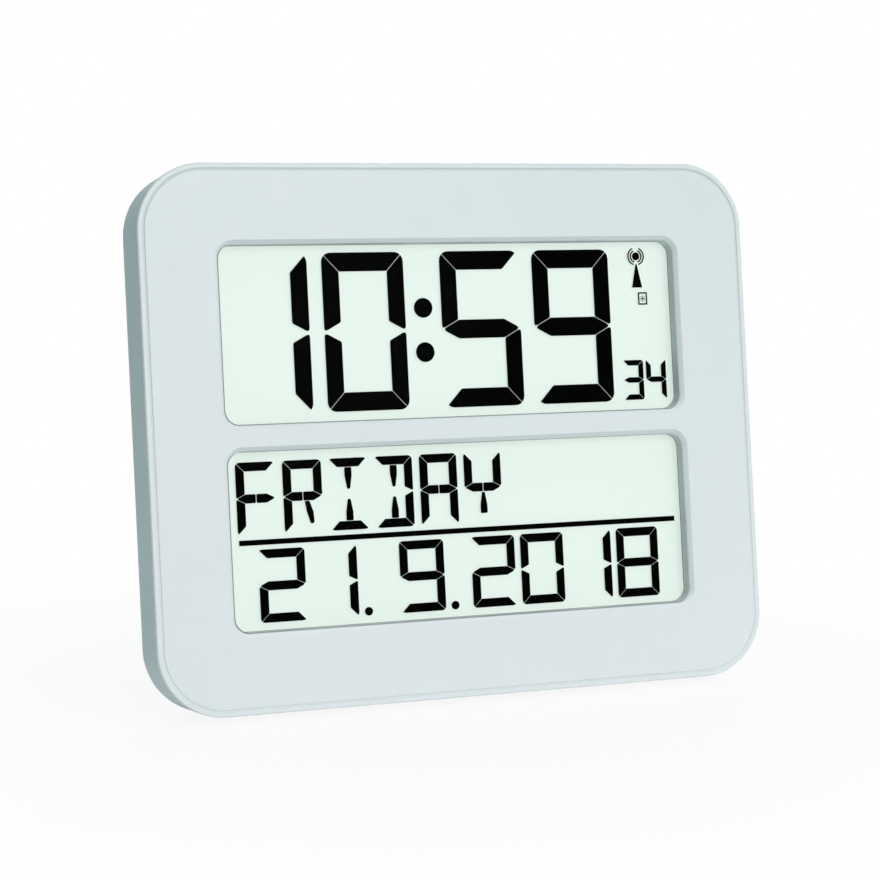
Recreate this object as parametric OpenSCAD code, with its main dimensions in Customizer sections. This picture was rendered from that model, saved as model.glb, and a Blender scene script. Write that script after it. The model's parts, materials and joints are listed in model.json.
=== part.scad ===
// Large-display day clock, standing on its fold-out leg and leaning back.
//
// Case coordinates: x to the right, y from the front face towards the back,
// z up, with the origin at the centre of the front face. Every sub-part is
// drawn there, and placed() leans the case back and sets it on the floor.

/* [Case] */
// Width of the case
case_w = 225; // [220:1:300]
// Height of the case
case_h = 185; // [182:1:240]
// Radius of the four corners, seen from the front
corner_r = 23; // [20:0.5:26]
// Wall thickness of the rear cover
wall = 2.2; // [1.8:0.1:3]
// Radius of the rounded rear edges
rear_round = 10; // [7:0.5:11]
// Angle by which the standing clock leans back
lean = 7.76; // [4:0.01:10]

/* [Front frame] */
// Thickness of the front plate
plate_t = 2.4; // [1.8:0.1:3]
// Depth of the frame's outer rim
rim_d = 3.2; // [2.8:0.1:4]
// Radius of the rim's front edge
rim_round = 0.5; // [0.3:0.1:2.2]
// Distance of the decorative groove from the outline
groove_inset = 1.65; // [1.2:0.05:6]
// Width of the groove
groove_w = 0.9; // [0.4:0.1:1.2]
// Depth of the groove
groove_depth = 0.3; // [0.2:0.1:0.8]
// How far the rear cover stands back inside the frame's outline
cover_step = 0.4; // [0.2:0.1:0.8]

/* [Display windows] */
// Width of each of the two windows
window_w = 170; // [130:1:182]
// Height of each window
window_h = 60.5; // [46:0.5:66]
// Height of the bar between the windows
crossbar = 9.1; // [7:0.1:14]
// Corner radius of a window
window_r = 5; // [3:0.5:8]
// Radius of the window's front edge
window_round = 1.5; // [0.5:0.1:1.5]
// Depth of the window walls down to the display glass
window_depth = 5.6; // [4:0.1:6.5]

/* [Display] */
// Thickness of each display glass
glass_t = 0.7; // [0.5:0.1:1.1]
// Thickness of the figure layer between the glasses
figure_t = 0.12; // [0.1:0.01:0.3]
// Hour shown
shown_hour = 10; // [10:1:23]
// Minute shown
shown_minute = 59; // [10:1:59]
// Second shown
shown_second = 34; // [10:1:59]
// Day shown
shown_day = 21; // [10:1:31]
// Month shown
shown_month = 9; // [1:1:9]
// Year shown
shown_year = 2018; // [2000:1:2099]

/* [Battery bay] */
// Diameter of one cell
cell_d = 14.2; // [13:0.1:18]
// Length of one cell with its nub
cell_l = 50.5; // [44:0.5:61]
// Thickness of the battery door
door_t = 1.8; // [1.5:0.1:2.4]
// Free depth between the main board and the bay, which sets the case's depth
bay_room = 1.18; // [1:0.01:12]
// Distance from the notch of the leg's pocket up to the battery door
bay_gap = 1.9; // [0.5:0.1:6]

/* [Stand] */
// Width of the fold-out leg
leg_w = 58; // [40:1:90]
// Length of the leg from its hinge axis to its foot bar
leg_l = 56; // [46:0.5:58]
// Thickness of the leg
leg_t = 4; // [3.4:0.1:4.4]
// Height of the hinge axis above the lower edge of the case
hinge_rise = 18; // [16.5:0.5:19]

/* [Keys] */
// Diameter of a key cap
key_d = 9; // [7:0.5:12]
// Distance between keys
key_pitch = 22; // [18:0.5:26]
// Travel of a key
key_travel = 0.6; // [0.4:0.1:0.8]
// Height of the key row above the middle of the case
key_z = 47; // [46:0.5:50]

/* [Hidden] */
$fn = 48;
tiny = 0.01;

// Named clearances
slide_gap = 0.3;      // between pieces that move past each other
bearing_gap = 0.05;   // radial, trunnion in its hole and plunger in its guide
seat_gap = 0.2;       // between shells that nest
thread_gap = 0.05;    // radial, screw shank in its pilot hole
glass_play = 0.1;     // round the edge of a display glass

// Windows
skirt_t = window_round + glass_play;
window_z = (window_h + crossbar) / 2;

// Display stack, front to back
glass_margin = skirt_t - glass_play;
contact_ledge = 3;
front_glass_y = window_depth;
figure_y = front_glass_y + glass_t;
back_glass_y = figure_y + figure_t;
reflector_y = back_glass_y + glass_t;
reflector_t = 0.2;
pad_y = reflector_y + reflector_t;
pad_t = 1.7;
board_y = pad_y + pad_t;
board_t = 1.2;
board_back = board_y + board_t;
glass_w = window_w + 2 * glass_margin;
glass_h = window_h + 2 * glass_margin;

// The cells behind the main board set the depth of the case
cell_r = cell_d / 2;
cell_gap = 0.4;
bay_floor_t = 1.5;
case_d = board_back + bay_room + bay_floor_t + cell_d + 2 * cell_gap + slide_gap + door_t;

// Corner centres of the case outline
cx = case_w / 2 - corner_r;
cz = case_h / 2 - corner_r;
cover_r = corner_r - cover_step;
inner_r = cover_r - wall;
back_in = case_d - wall;

// Frame lip that nests inside the cover
lip_t = 1.3;
lip_end = rim_d + 3;

// Case screws and the posts that take them
boss_inset = 13.5;
boss_x = case_w / 2 - boss_inset;
boss_z = case_h / 2 - boss_inset;
boss_spots = [for (sx = [-1, 1], sz = [-1, 0, 1]) [sx * boss_x, sz * boss_z]];
boss_r = 3.2;
boss_end = 14;
screw_r = 1.4;
screw_head_r = 2.8;
screw_head_t = 1.8;
well_r = 4.8;
well_hole_r = 3.4;
well_floor = 2.7;

// Main board
board_margin = 3.7;
post_x = window_w / 2 + skirt_t + 3.2;
post_z = window_h - 0.5;
board_w = 2 * (post_x + board_margin);
board_h = 2 * (window_z + window_h / 2 + glass_margin + contact_ledge + 2);
post_r = 2.6;
small_screw_r = 1.1;
small_head_r = 2.2;
small_head_t = 1.4;
board_spots = [for (sx = [-1, 1], sz = [-1, 0, 1]) [sx * post_x, sz * post_z]];

// Stand
leg_r = leg_t / 2;
hinge_y = case_d - leg_r - 0.2;
hinge_z = -case_h / 2 + hinge_rise;
trunnion_r = 1.5;
trunnion_l = 2.5;
recess_gap = 0.5;
recess_w = leg_w + 2 * recess_gap;
recess_floor_t = 1.5;
recess_floor_y = hinge_y - leg_r - recess_gap;
recess_wall = 1.6;
foot_r = 2.4;
foot_flat = 2;
hinge_boss_r = 4.2;

// Floor: the lower rear edge touches it, then the leg's foot
round_y = case_d - rear_round;
round_z = -(cz + cover_r - rear_round);
floor_drop = rear_round + round_y * sin(lean) - round_z * cos(lean);
hinge_height = hinge_z * cos(lean) - hinge_y * sin(lean) + floor_drop;
leg_slope = asin((hinge_height - foot_flat) / leg_l);
leg_tilt = leg_slope - lean;
lip_z = hinge_z - leg_r / cos(leg_tilt)
    - (case_d - hinge_y) * tan(leg_tilt) - slide_gap;
recess_top = hinge_z + leg_l + foot_r + recess_gap;
recess_h = recess_top - lip_z;
notch_r = 9;
// Nearest and furthest points, to centre the footprint on the origin
near_y = rim_round * cos(lean) - (case_h / 2 - rim_round) * sin(lean) - rim_round;
far_y = hinge_y * cos(lean) + hinge_z * sin(lean)
    + leg_l * cos(leg_slope) + foot_r;
centre_y = (near_y + far_y) / 2;

// Battery bay, above the leg's pocket
cell_step = cell_d + 2 * cell_gap;
cell_y = case_d - door_t - slide_gap - cell_gap - cell_r;
channel_r = cell_r + cell_gap;
bay_floor_y = cell_y - channel_r;
plate_gap = 0.3;
terminal_t = 0.5;
terminal_half = 0.98 * channel_r / sqrt(2);
bump_h = 0.8;
tab_drop = 4.7;       // from the cell's axis to the front of its solder tab
tab_w = 3;
tab_reach = 3;        // how far a solder tab stands out of the bay's wall
spring_l = 4.8;
spring_wire = 0.7;
spring_turns = 3.5;
bay_l = cell_l + 2 * terminal_t + bump_h + spring_l + 2 * plate_gap;
bay_h = cell_step + 2 * channel_r;
bay_wall = 3.8;
door_ledge = 1.7;
door_l = bay_l + 2 * door_ledge;
door_h = bay_h + 2 * door_ledge;
door_y = case_d - door_t;
ledge_y = door_y - 0.1;
bay_z = recess_top + notch_r + bay_gap + door_h / 2;
pivot_z = bay_z - door_h / 2 + door_t;
tongue_w = 8;
tongue_t = 1.3;
tongue_reach = 2.2;
tongue_x = door_l / 3.4;
latch_w = 12;
latch_t = 1;
latch_depth = 5.5;

// Keyhole for a wall screw
keyhole_z = case_h / 2 - 25;
keyhole_r = 4.5;
keyhole_slot = 4.4;
keyhole_rise = 8;
keyhole_depth = 4.6;
keyhole_shell = 1.3;

// Keys, back to front: cap, stem, plunger, switch, board
key_spots = [for (i = [0:3]) (1.5 - i) * key_pitch];
key_proud = 0.8;
key_flange = 0.9;
key_board_y = 19;
key_board_t = 1.2;
key_board_l = 3 * key_pitch + 29;
key_board_h = 15;
switch_w = 6;
switch_h = 3.5;
switch_top = key_board_y + switch_h;
plunger_r = 1.7;
plunger_deep = 1.6;
plunger_top = switch_top + 1.5;
flange_y = back_in - slide_gap - key_flange;
key_post_x = key_board_l / 2 - 4;
key_post_r = 2.6;

// Antenna
rod_r = 4.75;
rod_l = 60;
rod_y = 17;
rod_z = case_h / 2 - 12.5;
rod_x = -48;
coil_r = 6.2;
coil_l = 18;
cradle_t = 3;
cradle_half = 7;
cradle_spots = [rod_x - rod_l / 2 + 6, rod_x + rod_l / 2 - 6];
lead_r = 0.4;

// Receiver board on its header, beside the antenna
receiver = [22, 14];
receiver_x = 52;
receiver_z = post_z - 6;
header_h = 2.5;
receiver_y = board_back + header_h;
receiver_t = 1;

// Figures. Margins are measured from the window's edges, gaps and spaces are
// clear distances, and a figure's stroke has an upright and a level width.
figure_gap = 0.55;
time_top = 2.58;
time_low = 3.25;
time_left = 2.88;
time_right = 2.4;
time_gap = 5.25;
time_upright = 6.15;
time_stroke = 6.55;
colon_space = 13.5;
colon_r = 3.46;
colon_rise = 7.72;    // from the middle of the figures to a dot's centre
second_space = 4.1;
second_gap = 1.1;
second_low = 3.57;
second_w = 7.95;
second_h = 14.3;
second_stroke = 1.85;
time_h = window_h - time_top - time_low;
time_w = (window_w - time_left - time_right - 2 * time_gap - colon_space
    - second_space - 2 * second_w - second_gap) / 4;
date_left = 10.52;
date_right = 9.32;
date_low = 2.6;
date_top = 2.88;      // from the window's middle down to the date
date_gap = 2.2;
date_stroke = 3.05;
month_space = 15.54;
year_space = 10.32;
date_w = (window_w - date_left - date_right - 4 * date_gap
    - month_space - year_space) / 7;
date_h = window_h / 2 - date_top - date_low;
dot_r = 1.48;
dot_offset = 3.5;     // from a figure's right edge to its dot's centre
divider_t = 1.83;
divider_drop = 0.42;  // from the window's middle down to the line's
divider_left = 4.1;
divider_right = 2.07;
// Which segments each figure lights: a top, then clockwise, g middle
SEGMENTS = ["abcdef", "bc", "abdeg", "abcdg", "bcfg",
            "acdfg", "acdefg", "abc", "abcdefg", "abcdfg"];

// ---- Helpers -------------------------------------------------------------

// Leans the case back and stands it on the floor, centred on the origin
module placed() {
    translate([0, -centre_y, floor_drop]) rotate([-lean, 0, 0]) children();
}

// Extrudes a front-view outline from depth y0 to depth y1
module slab(y0, y1) {
    translate([0, y1, 0]) rotate([90, 0, 0]) linear_extrude(y1 - y0) children();
}

// Round bar along the depth, from y0 to y1
module post(x, z, y0, y1, r) {
    translate([x, y0, z]) rotate([-90, 0, 0]) cylinder(h = y1 - y0, r = r);
}

// Bar along x, centred
module bar(y, z, length, r) {
    translate([-length / 2, y, z]) rotate([0, 90, 0]) cylinder(h = length, r = r);
}

// Box given by its low and high corners
module span(low, high) {
    translate(low) cube(high - low);
}

module rounded_rect(w, h, r) {
    square([w - 2 * r, h], center = true);
    square([w, h - 2 * r], center = true);
    for (sx = [-1, 1], sz = [-1, 1])
        translate([sx * (w / 2 - r), sz * (h / 2 - r)]) circle(r);
}

// Sweeps a section (x outward from the corner centres, y the depth) round a
// rounded rectangle whose corner centres lie at +-half_x and +-half_z
module swept(half_x, half_z) {
    for (sx = [0, 1], sz = [0, 1])
        mirror([sx, 0, 0]) mirror([0, 0, sz]) translate([half_x, 0, half_z])
            rotate([-90, 0, 0]) rotate_extrude(angle = 90, start = -90) children();
    for (sx = [0, 1])
        mirror([sx, 0, 0]) translate([half_x, 0, -half_z])
            linear_extrude(2 * half_z) children();
    for (sz = [0, 1])
        mirror([0, 0, sz]) translate([half_x, 0, half_z])
            rotate([0, -90, 0]) linear_extrude(2 * half_x) children();
}

// Quarter disc in the quadrant given by the signs
module quarter(r, sx, sy) {
    intersection() {
        circle(r);
        translate([sx > 0 ? 0 : -r, sy > 0 ? 0 : -r]) square(r);
    }
}

// Tube swept along points, closed at both ends
function unit(v) = v / norm(v);
function heading(p, i) =
    unit(p[min(i + 1, len(p) - 1)] - p[max(i - 1, 0)]);
function side_of(t) = unit(cross(t, abs(t[0]) < 0.9 ? [1, 0, 0] : [0, 1, 0]));
function rings(p, r, n) = [
    for (i = [0:len(p) - 1])
        let (t = heading(p, i), u = side_of(t), v = cross(t, u))
        for (k = [0:n - 1]) p[i] + r * (cos(360 * k / n) * u + sin(360 * k / n) * v)
];
function tube_faces(m, n) = concat(
    [for (i = [0:m - 2], k = [0:n - 1]) let (j = (k + 1) % n)
        each [[i * n + k, (i + 1) * n + k, (i + 1) * n + j],
              [i * n + k, (i + 1) * n + j, i * n + j]]],
    [for (k = [1:n - 2]) [0, k, k + 1]],
    [for (k = [1:n - 2]) [(m - 1) * n, (m - 1) * n + k + 1, (m - 1) * n + k]]
);
module tube(points, r, sides = 6) {
    polyhedron(rings(points, r, sides), tube_faces(len(points), sides));
}

// Pan-head screw along the depth, its head on the rear side
module screw(x, z, tip_y, seat_y, shank_r, head_r, head_t) {
    slot = head_r * 1.3;
    difference() {
        union() {
            post(x, z, tip_y, seat_y + tiny, shank_r);
            post(x, z, seat_y, seat_y + head_t, head_r);
        }
        for (a = [0, 90])
            translate([x, seat_y + head_t, z]) rotate([0, a, 0])
                cube([slot, head_t, head_r * 0.24], center = true);
    }
}

// ---- Front ---------------------------------------------------------------

module frame_section() {
    difference() {
        union() {
            square([corner_r - rim_round, plate_t]);
            translate([inner_r, rim_round])
                square([corner_r - inner_r, rim_d - rim_round]);
            translate([corner_r - rim_round, rim_round]) quarter(rim_round, 1, -1);
            translate([inner_r - seat_gap - lip_t, plate_t - tiny])
                square([lip_t, lip_end - plate_t]);
        }
        // groove with drafted sides
        translate([corner_r - groove_inset - groove_w / 2, 0]) polygon([
            [-groove_w / 2, -1], [-groove_w / 2, 0], [-groove_w / 6, groove_depth],
            [groove_w / 6, groove_depth], [groove_w / 2, 0], [groove_w / 2, -1]]);
    }
}

module skirt_section() {
    translate([window_r, window_round]) square([skirt_t, window_depth - window_round]);
    translate([window_r + window_round, 0])
        square([skirt_t - window_round, window_depth]);
    translate([window_r + window_round, window_round]) quarter(window_round, -1, -1);
}

// Ribs that locate a display glass, three beside the window wall's outer face
// and one pair beyond the contact ledge
module glass_ribs(side) {
    rib_t = 1;
    rib_l = 16;
    rib_x = 50;
    side_x = window_w / 2 + skirt_t + rib_t / 2 - tiny;
    inner_z = -window_h / 2 - skirt_t - rib_t / 2 + tiny;
    ledge_z = glass_h / 2 + contact_ledge + seat_gap + rib_t / 2;
    translate([0, 0, side * window_z]) slab(plate_t - tiny, reflector_y) {
        for (s = [-1, 1]) translate([s * side_x, 0]) square([rib_t, rib_l], center = true);
        for (x = [-rib_x, rib_x], z = [inner_z, ledge_z])
            translate([x, side * z]) square([rib_l, rib_t], center = true);
    }
}

module front_frame() {
    color("#dde6e6") placed() {
        difference() {
            union() {
                swept(cx, cz) frame_section();
                slab(0, plate_t) difference() {
                    square([2 * cx, 2 * cz], center = true);
                    for (s = [-1, 1]) translate([0, s * window_z])
                        rounded_rect(window_w + 2 * skirt_t, window_h + 2 * skirt_t,
                                     window_r + skirt_t);
                }
                for (s = [-1, 1]) translate([0, 0, s * window_z])
                    swept(window_w / 2 - window_r, window_h / 2 - window_r)
                        skirt_section();
                for (s = [-1, 1]) glass_ribs(s);
                for (p = boss_spots) post(p[0], p[1], plate_t - tiny, boss_end, boss_r);
                for (p = board_spots) post(p[0], p[1], plate_t - tiny, board_y, post_r);
            }
            for (p = boss_spots)
                post(p[0], p[1], plate_t + 1.6, boss_end + 1, screw_r + thread_gap);
            for (p = board_spots)
                post(p[0], p[1], plate_t + 1, board_y + 1, small_screw_r + thread_gap);
        }
    }
}

// ---- Rear cover ----------------------------------------------------------

// Solid section from the seam to the back, drawn in by a wall thickness
module cover_solid(inset, front_y) {
    radius = rear_round - inset;
    reach = cover_r - inset;
    depth = case_d - inset;
    translate([0, front_y]) square([reach, depth - radius - front_y]);
    translate([0, front_y]) square([reach - radius, depth - front_y]);
    translate([reach - radius, depth - radius]) circle(radius);
}

module cover_section() {
    difference() {
        cover_solid(0, rim_d);
        cover_solid(wall, rim_d - 1);
    }
}

// Outline of the pocket that takes the folded leg, with its finger notch
module recess_outline(grow) {
    translate([0, (lip_z + recess_top) / 2])
        square([recess_w + 2 * grow, recess_h + 2 * grow], center = true);
    translate([0, recess_top]) circle(notch_r + grow);
}

module cradle(x) {
    difference() {
        span([x - cradle_t / 2, rod_y - rod_r - 1, rod_z - cradle_half],
             [x + cradle_t / 2, back_in + 0.1, rod_z + cradle_half]);
        translate([x - cradle_t, rod_y, rod_z]) rotate([0, 90, 0])
            cylinder(h = 2 * cradle_t, r = rod_r + 0.1);
        span([x - cradle_t, rod_y - rod_r - 2, rod_z - rod_r + 0.8],
             [x + cradle_t, rod_y, rod_z + rod_r - 0.8]);
    }
}

module cover_blocks() {
    // bay
    span([-bay_l / 2 - bay_wall, bay_floor_y - bay_floor_t, bay_z - bay_h / 2 - bay_wall],
         [bay_l / 2 + bay_wall, back_in + 0.1, bay_z + bay_h / 2 + bay_wall]);
    // leg pocket and its hinge bosses
    slab(recess_floor_y - recess_floor_t, back_in + 0.1) recess_outline(recess_wall);
    difference() {
        bar(hinge_y, hinge_z, recess_w + 2 * (trunnion_l + 2), hinge_boss_r);
        span([-case_w / 2, back_in, hinge_z - 2 * hinge_boss_r],
             [case_w / 2, case_d + hinge_boss_r, hinge_z + 2 * hinge_boss_r]);
    }
    // keyhole pocket
    span([-keyhole_r - 3, back_in - keyhole_depth - keyhole_shell, keyhole_z - keyhole_r - 3],
         [keyhole_r + 3, back_in + 0.1, keyhole_z + keyhole_rise + keyhole_r + 2]);
    for (p = boss_spots) post(p[0], p[1], boss_end, back_in + 0.2, well_r);
    for (s = [-1, 1])
        post(s * key_post_x, key_z, key_board_y, back_in + 0.1, key_post_r);
    for (x = cradle_spots) cradle(x);
}

module bay_cuts() {
    cavity_top = case_d + 1;
    for (s = [-1, 1]) bar(cell_y, bay_z + s * cell_step / 2, bay_l, channel_r);
    span([-bay_l / 2, cell_y, bay_z - bay_h / 2], [bay_l / 2, cavity_top, bay_z + bay_h / 2]);
    // rebate for the door
    span([-door_l / 2 - slide_gap, ledge_y, bay_z - door_h / 2 - slide_gap],
         [door_l / 2 + slide_gap, cavity_top, bay_z + door_h / 2 + slide_gap]);
    // relief in which the door's rounded lower edge turns
    bar(door_y, pivot_z, door_l + 2 * slide_gap, door_t + 0.8 * slide_gap);
    // slots for the door's tongues, and the mouths that their necks pass
    for (s = [-1, 1]) {
        span([s * tongue_x - tongue_w / 2 - 0.5, door_y - 5, pivot_z - 5.2],
             [s * tongue_x + tongue_w / 2 + 0.5, back_in, pivot_z + 3]);
        span([s * tongue_x - tongue_w / 2 - 0.5, back_in - 1, pivot_z - door_t - slide_gap],
             [s * tongue_x + tongue_w / 2 + 0.5, door_y, pivot_z + 3]);
    }
    // notch for the latch
    span([-latch_w / 2 - 1, door_y - latch_depth - 1, bay_z + bay_h / 2 - 0.5],
         [latch_w / 2 + 1, cavity_top, bay_z + door_h / 2 + 3.2]);
    // slots for the solder tabs
    for (s = [-1, 1])
        span([-bay_l / 2 - bay_wall - 1, cell_y - tab_drop - slide_gap,
              bay_z + s * cell_step / 2 - tab_w / 2 - slide_gap],
             [-bay_l / 2 + 1, cell_y - tab_drop + terminal_t + slide_gap,
              bay_z + s * cell_step / 2 + tab_w / 2 + slide_gap]);
}

module keyhole_cuts() {
    slab(back_in - keyhole_depth, back_in) union() {
        translate([0, keyhole_z]) circle(keyhole_r + 1);
        translate([-keyhole_r - 1, keyhole_z])
            square([2 * keyhole_r + 2, keyhole_rise + keyhole_r - 1]);
    }
    slab(back_in - tiny, case_d + 1) union() {
        translate([0, keyhole_z]) circle(keyhole_r);
        translate([-keyhole_slot / 2, keyhole_z]) square([keyhole_slot, keyhole_rise]);
        translate([0, keyhole_z + keyhole_rise]) circle(keyhole_slot / 2);
    }
}

module rear_cover() {
    color("#8b9e9e") placed() {
        difference() {
            union() {
                swept(cx, cz) cover_section();
                slab(back_in, case_d) square([2 * cx, 2 * cz], center = true);
                cover_blocks();
            }
            bay_cuts();
            slab(recess_floor_y, case_d + 1) recess_outline(0);
            bar(hinge_y, hinge_z, recess_w + 2 * (trunnion_l + 0.5),
                trunnion_r + bearing_gap);
            keyhole_cuts();
            for (p = boss_spots) {
                post(p[0], p[1], boss_end - 1, case_d + 1, screw_r + 0.35);
                post(p[0], p[1], boss_end + well_floor, case_d + 1, well_hole_r);
            }
            for (x = key_spots)
                post(x, key_z, back_in - 1, case_d + 1, key_d / 2 + slide_gap);
            for (s = [-1, 1])
                post(s * key_post_x, key_z, key_board_y - 1, back_in - 1.5,
                     small_screw_r + thread_gap);
        }
    }
}

// ---- Stand ---------------------------------------------------------------

// The leg lies along +y from its hinge axis, its inner side up
module leg() {
    pocket_rim = 4;
    pocket_start = 8;
    pocket_floor = 0.2;
    rib_t = 1.6;
    field_w = (leg_w - 2 * pocket_rim - 3 * rib_t) / 4;
    difference() {
        union() {
            span([-leg_w / 2, 0, -leg_r], [leg_w / 2, leg_l, leg_r]);
            bar(0, 0, leg_w, leg_r);
            bar(leg_l, 0, leg_w, foot_r);
            bar(0, 0, leg_w + 2 * trunnion_l, trunnion_r);
        }
        // the inner side is hollowed between three stiffening ribs
        for (i = [0:3])
            translate([-leg_w / 2 + pocket_rim + i * (field_w + rib_t), 0, 0])
                span([0, pocket_start, pocket_floor],
                     [field_w, leg_l - foot_r - 2, leg_r + 1]);
    }
}

module stand() {
    floor_cut = foot_r - foot_flat;
    color("#8b9e9e") difference() {
        placed() translate([0, hinge_y, hinge_z]) rotate([-leg_tilt, 0, 0]) leg();
        translate([-leg_w, far_y - centre_y - 4 * foot_r, -2 * foot_r])
            cube([2 * leg_w, 6 * foot_r, 2 * foot_r]);
    }
}

// ---- Battery bay ---------------------------------------------------------

module battery_door() {
    top_z = bay_z + door_h / 2;
    color("#8b9e9e") placed() {
        // plate above the pivot, and its lower edge, rounded about the pivot so
        // that it turns clear of the cover
        span([-door_l / 2, door_y, pivot_z], [door_l / 2, case_d, top_z]);
        intersection() {
            bar(door_y, pivot_z, door_l, door_t);
            span([-door_l / 2, door_y, pivot_z - door_t], [door_l / 2, case_d, pivot_z + tiny]);
        }
        // tongues that hook under the cover
        for (s = [-1, 1]) {
            span([s * tongue_x - tongue_w / 2, back_in - slide_gap - tongue_t,
                  pivot_z - door_t - tongue_reach],
                 [s * tongue_x + tongue_w / 2, back_in - slide_gap, pivot_z + 1.5]);
            span([s * tongue_x - tongue_w / 2, back_in - slide_gap - tiny, pivot_z - door_t + 0.6],
                 [s * tongue_x + tongue_w / 2, door_y + tiny, pivot_z + 1.5]);
        }
        // sprung latch: down one leg, round the bend, up the thumb piece
        latch_in = top_z - 2.2 - latch_t;
        latch_out = top_z + 0.4;
        latch_mid = (latch_in + latch_out + latch_t) / 2;
        latch_bend = (latch_out + latch_t - latch_in) / 2;
        span([-latch_w / 2, door_y - latch_depth + latch_bend, latch_in],
             [latch_w / 2, door_y + tiny, latch_in + latch_t]);
        span([-latch_w / 2, door_y - latch_depth + latch_bend, latch_out],
             [latch_w / 2, case_d - 0.2, latch_out + latch_t]);
        difference() {
            bar(door_y - latch_depth + latch_bend, latch_mid, latch_w, latch_bend);
            bar(door_y - latch_depth + latch_bend, latch_mid, latch_w + 2,
                latch_bend - latch_t);
            span([-latch_w, door_y - latch_depth + latch_bend, latch_in - 1],
                 [latch_w, case_d, latch_out + latch_t + 1]);
        }
        // grip ribs on the outside, by the latch
        for (i = [0:2])
            span([-latch_w / 2, case_d - tiny, top_z - 4 - 2.4 * i],
                 [latch_w / 2, case_d + 0.5, top_z - 3.1 - 2.4 * i]);
    }
}

// Cell along x, its nub towards the side given by sign s
module cell(s, z) {
    nub_r = 2.75;
    nub_l = 1.2;
    nub_edge = 0.3;
    shoulder = 0.7;
    rim = 0.4;
    // x of the nub's tip, clear of the bump on its terminal
    tip = bay_l / 2 - terminal_t - bump_h - plate_gap;
    placed() translate([s * tip, cell_y, z]) rotate([0, -s * 90, 0]) rotate_extrude()
        polygon([[0, 0], [nub_r - nub_edge, 0], [nub_r, nub_edge], [nub_r, nub_l],
                 [cell_r - shoulder, nub_l], [cell_r, nub_l + shoulder],
                 [cell_r, cell_l - rim], [cell_r - rim, cell_l], [0, cell_l]]);
}

module battery_upper() {
    color("#3b5f86") cell(-1, bay_z + cell_step / 2);
}

module battery_lower() {
    color("#3b5f86") cell(1, bay_z - cell_step / 2);
}

// Conical coil from a terminal plate towards the flat end of a cell
coil_steps = 12;
function coil_points(s, z) = let (base = 4.6, top = 3)
    [for (i = [0:spring_turns * coil_steps])
        let (f = i / (spring_turns * coil_steps), a = 360 * i / coil_steps,
             r = base + (top - base) * f)
        [s * (bay_l / 2 - terminal_t - spring_wire / 2
              - f * (spring_l - spring_wire)),
         cell_y + r * cos(a), z + r * sin(a)]];

module battery_springs() {
    color("silver") placed() {
        tube(coil_points(1, bay_z + cell_step / 2), spring_wire / 2);
        tube(coil_points(-1, bay_z - cell_step / 2), spring_wire / 2);
    }
}
// Least gap between points of a tube that lie at least some steps apart
function least_gap(p, apart, wire) =
    min([for (i = [0:len(p) - 1 - apart], j = [i + apart:len(p) - 1]) norm(p[i] - p[j])]) - wire;
echo(spring_gap = least_gap(coil_points(1, bay_z), coil_steps - 2, spring_wire));

// Contact plate on the bay's left end, with its solder tab through the wall
module terminal(z, bump) {
    half = terminal_half;
    left = -bay_l / 2;
    placed() {
        span([left, cell_y - half, z - half], [left + terminal_t, cell_y + half, z + half]);
        span([left - bay_wall - tab_reach, cell_y - tab_drop, z - tab_w / 2],
             [left + tiny, cell_y - tab_drop + terminal_t, z + tab_w / 2]);
        if (bump)
            translate([left + terminal_t - tiny, cell_y, z]) rotate([0, 90, 0])
                cylinder(h = bump_h, r1 = 3, r2 = 2);
    }
}

module terminal_upper() {
    color("silver") terminal(bay_z + cell_step / 2, true);
}

module terminal_lower() {
    color("silver") terminal(bay_z - cell_step / 2, false);
}

module terminal_bridge() {
    half = terminal_half;
    right = bay_l / 2;
    color("silver") placed() {
        span([right - terminal_t, cell_y, bay_z - cell_step / 2 - half],
             [right, cell_y + half, bay_z + cell_step / 2 + half]);
        for (s = [-1, 1])
            span([right - terminal_t, cell_y - half, bay_z + s * cell_step / 2 - half],
                 [right, cell_y + tiny, bay_z + s * cell_step / 2 + half]);
        translate([right - terminal_t + tiny, cell_y, bay_z - cell_step / 2])
            rotate([0, -90, 0]) cylinder(h = bump_h, r1 = 3, r2 = 2);
    }
}

// Wire from a solder tab in a bend down to the main board
function lead_points(z) = let (
        start = [-bay_l / 2 - bay_wall - tab_reach, cell_y - tab_drop + terminal_t / 2],
        reach = 8,
        drop = start[1] - board_back)
    [for (i = [0:12]) let (f = i / 12)
        [start[0] - reach * sin(90 * f), start[1] - drop * (1 - cos(90 * f)), z]];

module battery_leads() {
    color("#b03030") placed()
        for (s = [-1, 1]) tube(lead_points(bay_z + s * cell_step / 2), 0.6);
}

// ---- Keys ----------------------------------------------------------------

module button(x) {
    // the lower end touches the plunger, the flange keeps the cap in
    color("#6f7f80") placed() {
        post(x, key_z, plunger_top, flange_y + tiny, 2.4);
        post(x, key_z, flange_y, flange_y + key_flange, key_d / 2 + 1.4);
        post(x, key_z, flange_y + key_flange - tiny, case_d + key_proud - 0.5, key_d / 2);
        translate([x, case_d + key_proud - 0.5 - tiny, key_z]) rotate([-90, 0, 0])
            cylinder(h = 0.5, r1 = key_d / 2, r2 = key_d / 2 - 0.5);
    }
}

module button_mode() { button(key_spots[0]); }
module button_set() { button(key_spots[1]); }
module button_plus() { button(key_spots[2]); }
module button_minus() { button(key_spots[3]); }

module plunger(x) {
    color("#202224") placed()
        post(x, key_z, switch_top - plunger_deep + key_travel, plunger_top, plunger_r);
}

module plunger_mode() { plunger(key_spots[0]); }
module plunger_set() { plunger(key_spots[1]); }
module plunger_plus() { plunger(key_spots[2]); }
module plunger_minus() { plunger(key_spots[3]); }

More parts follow.
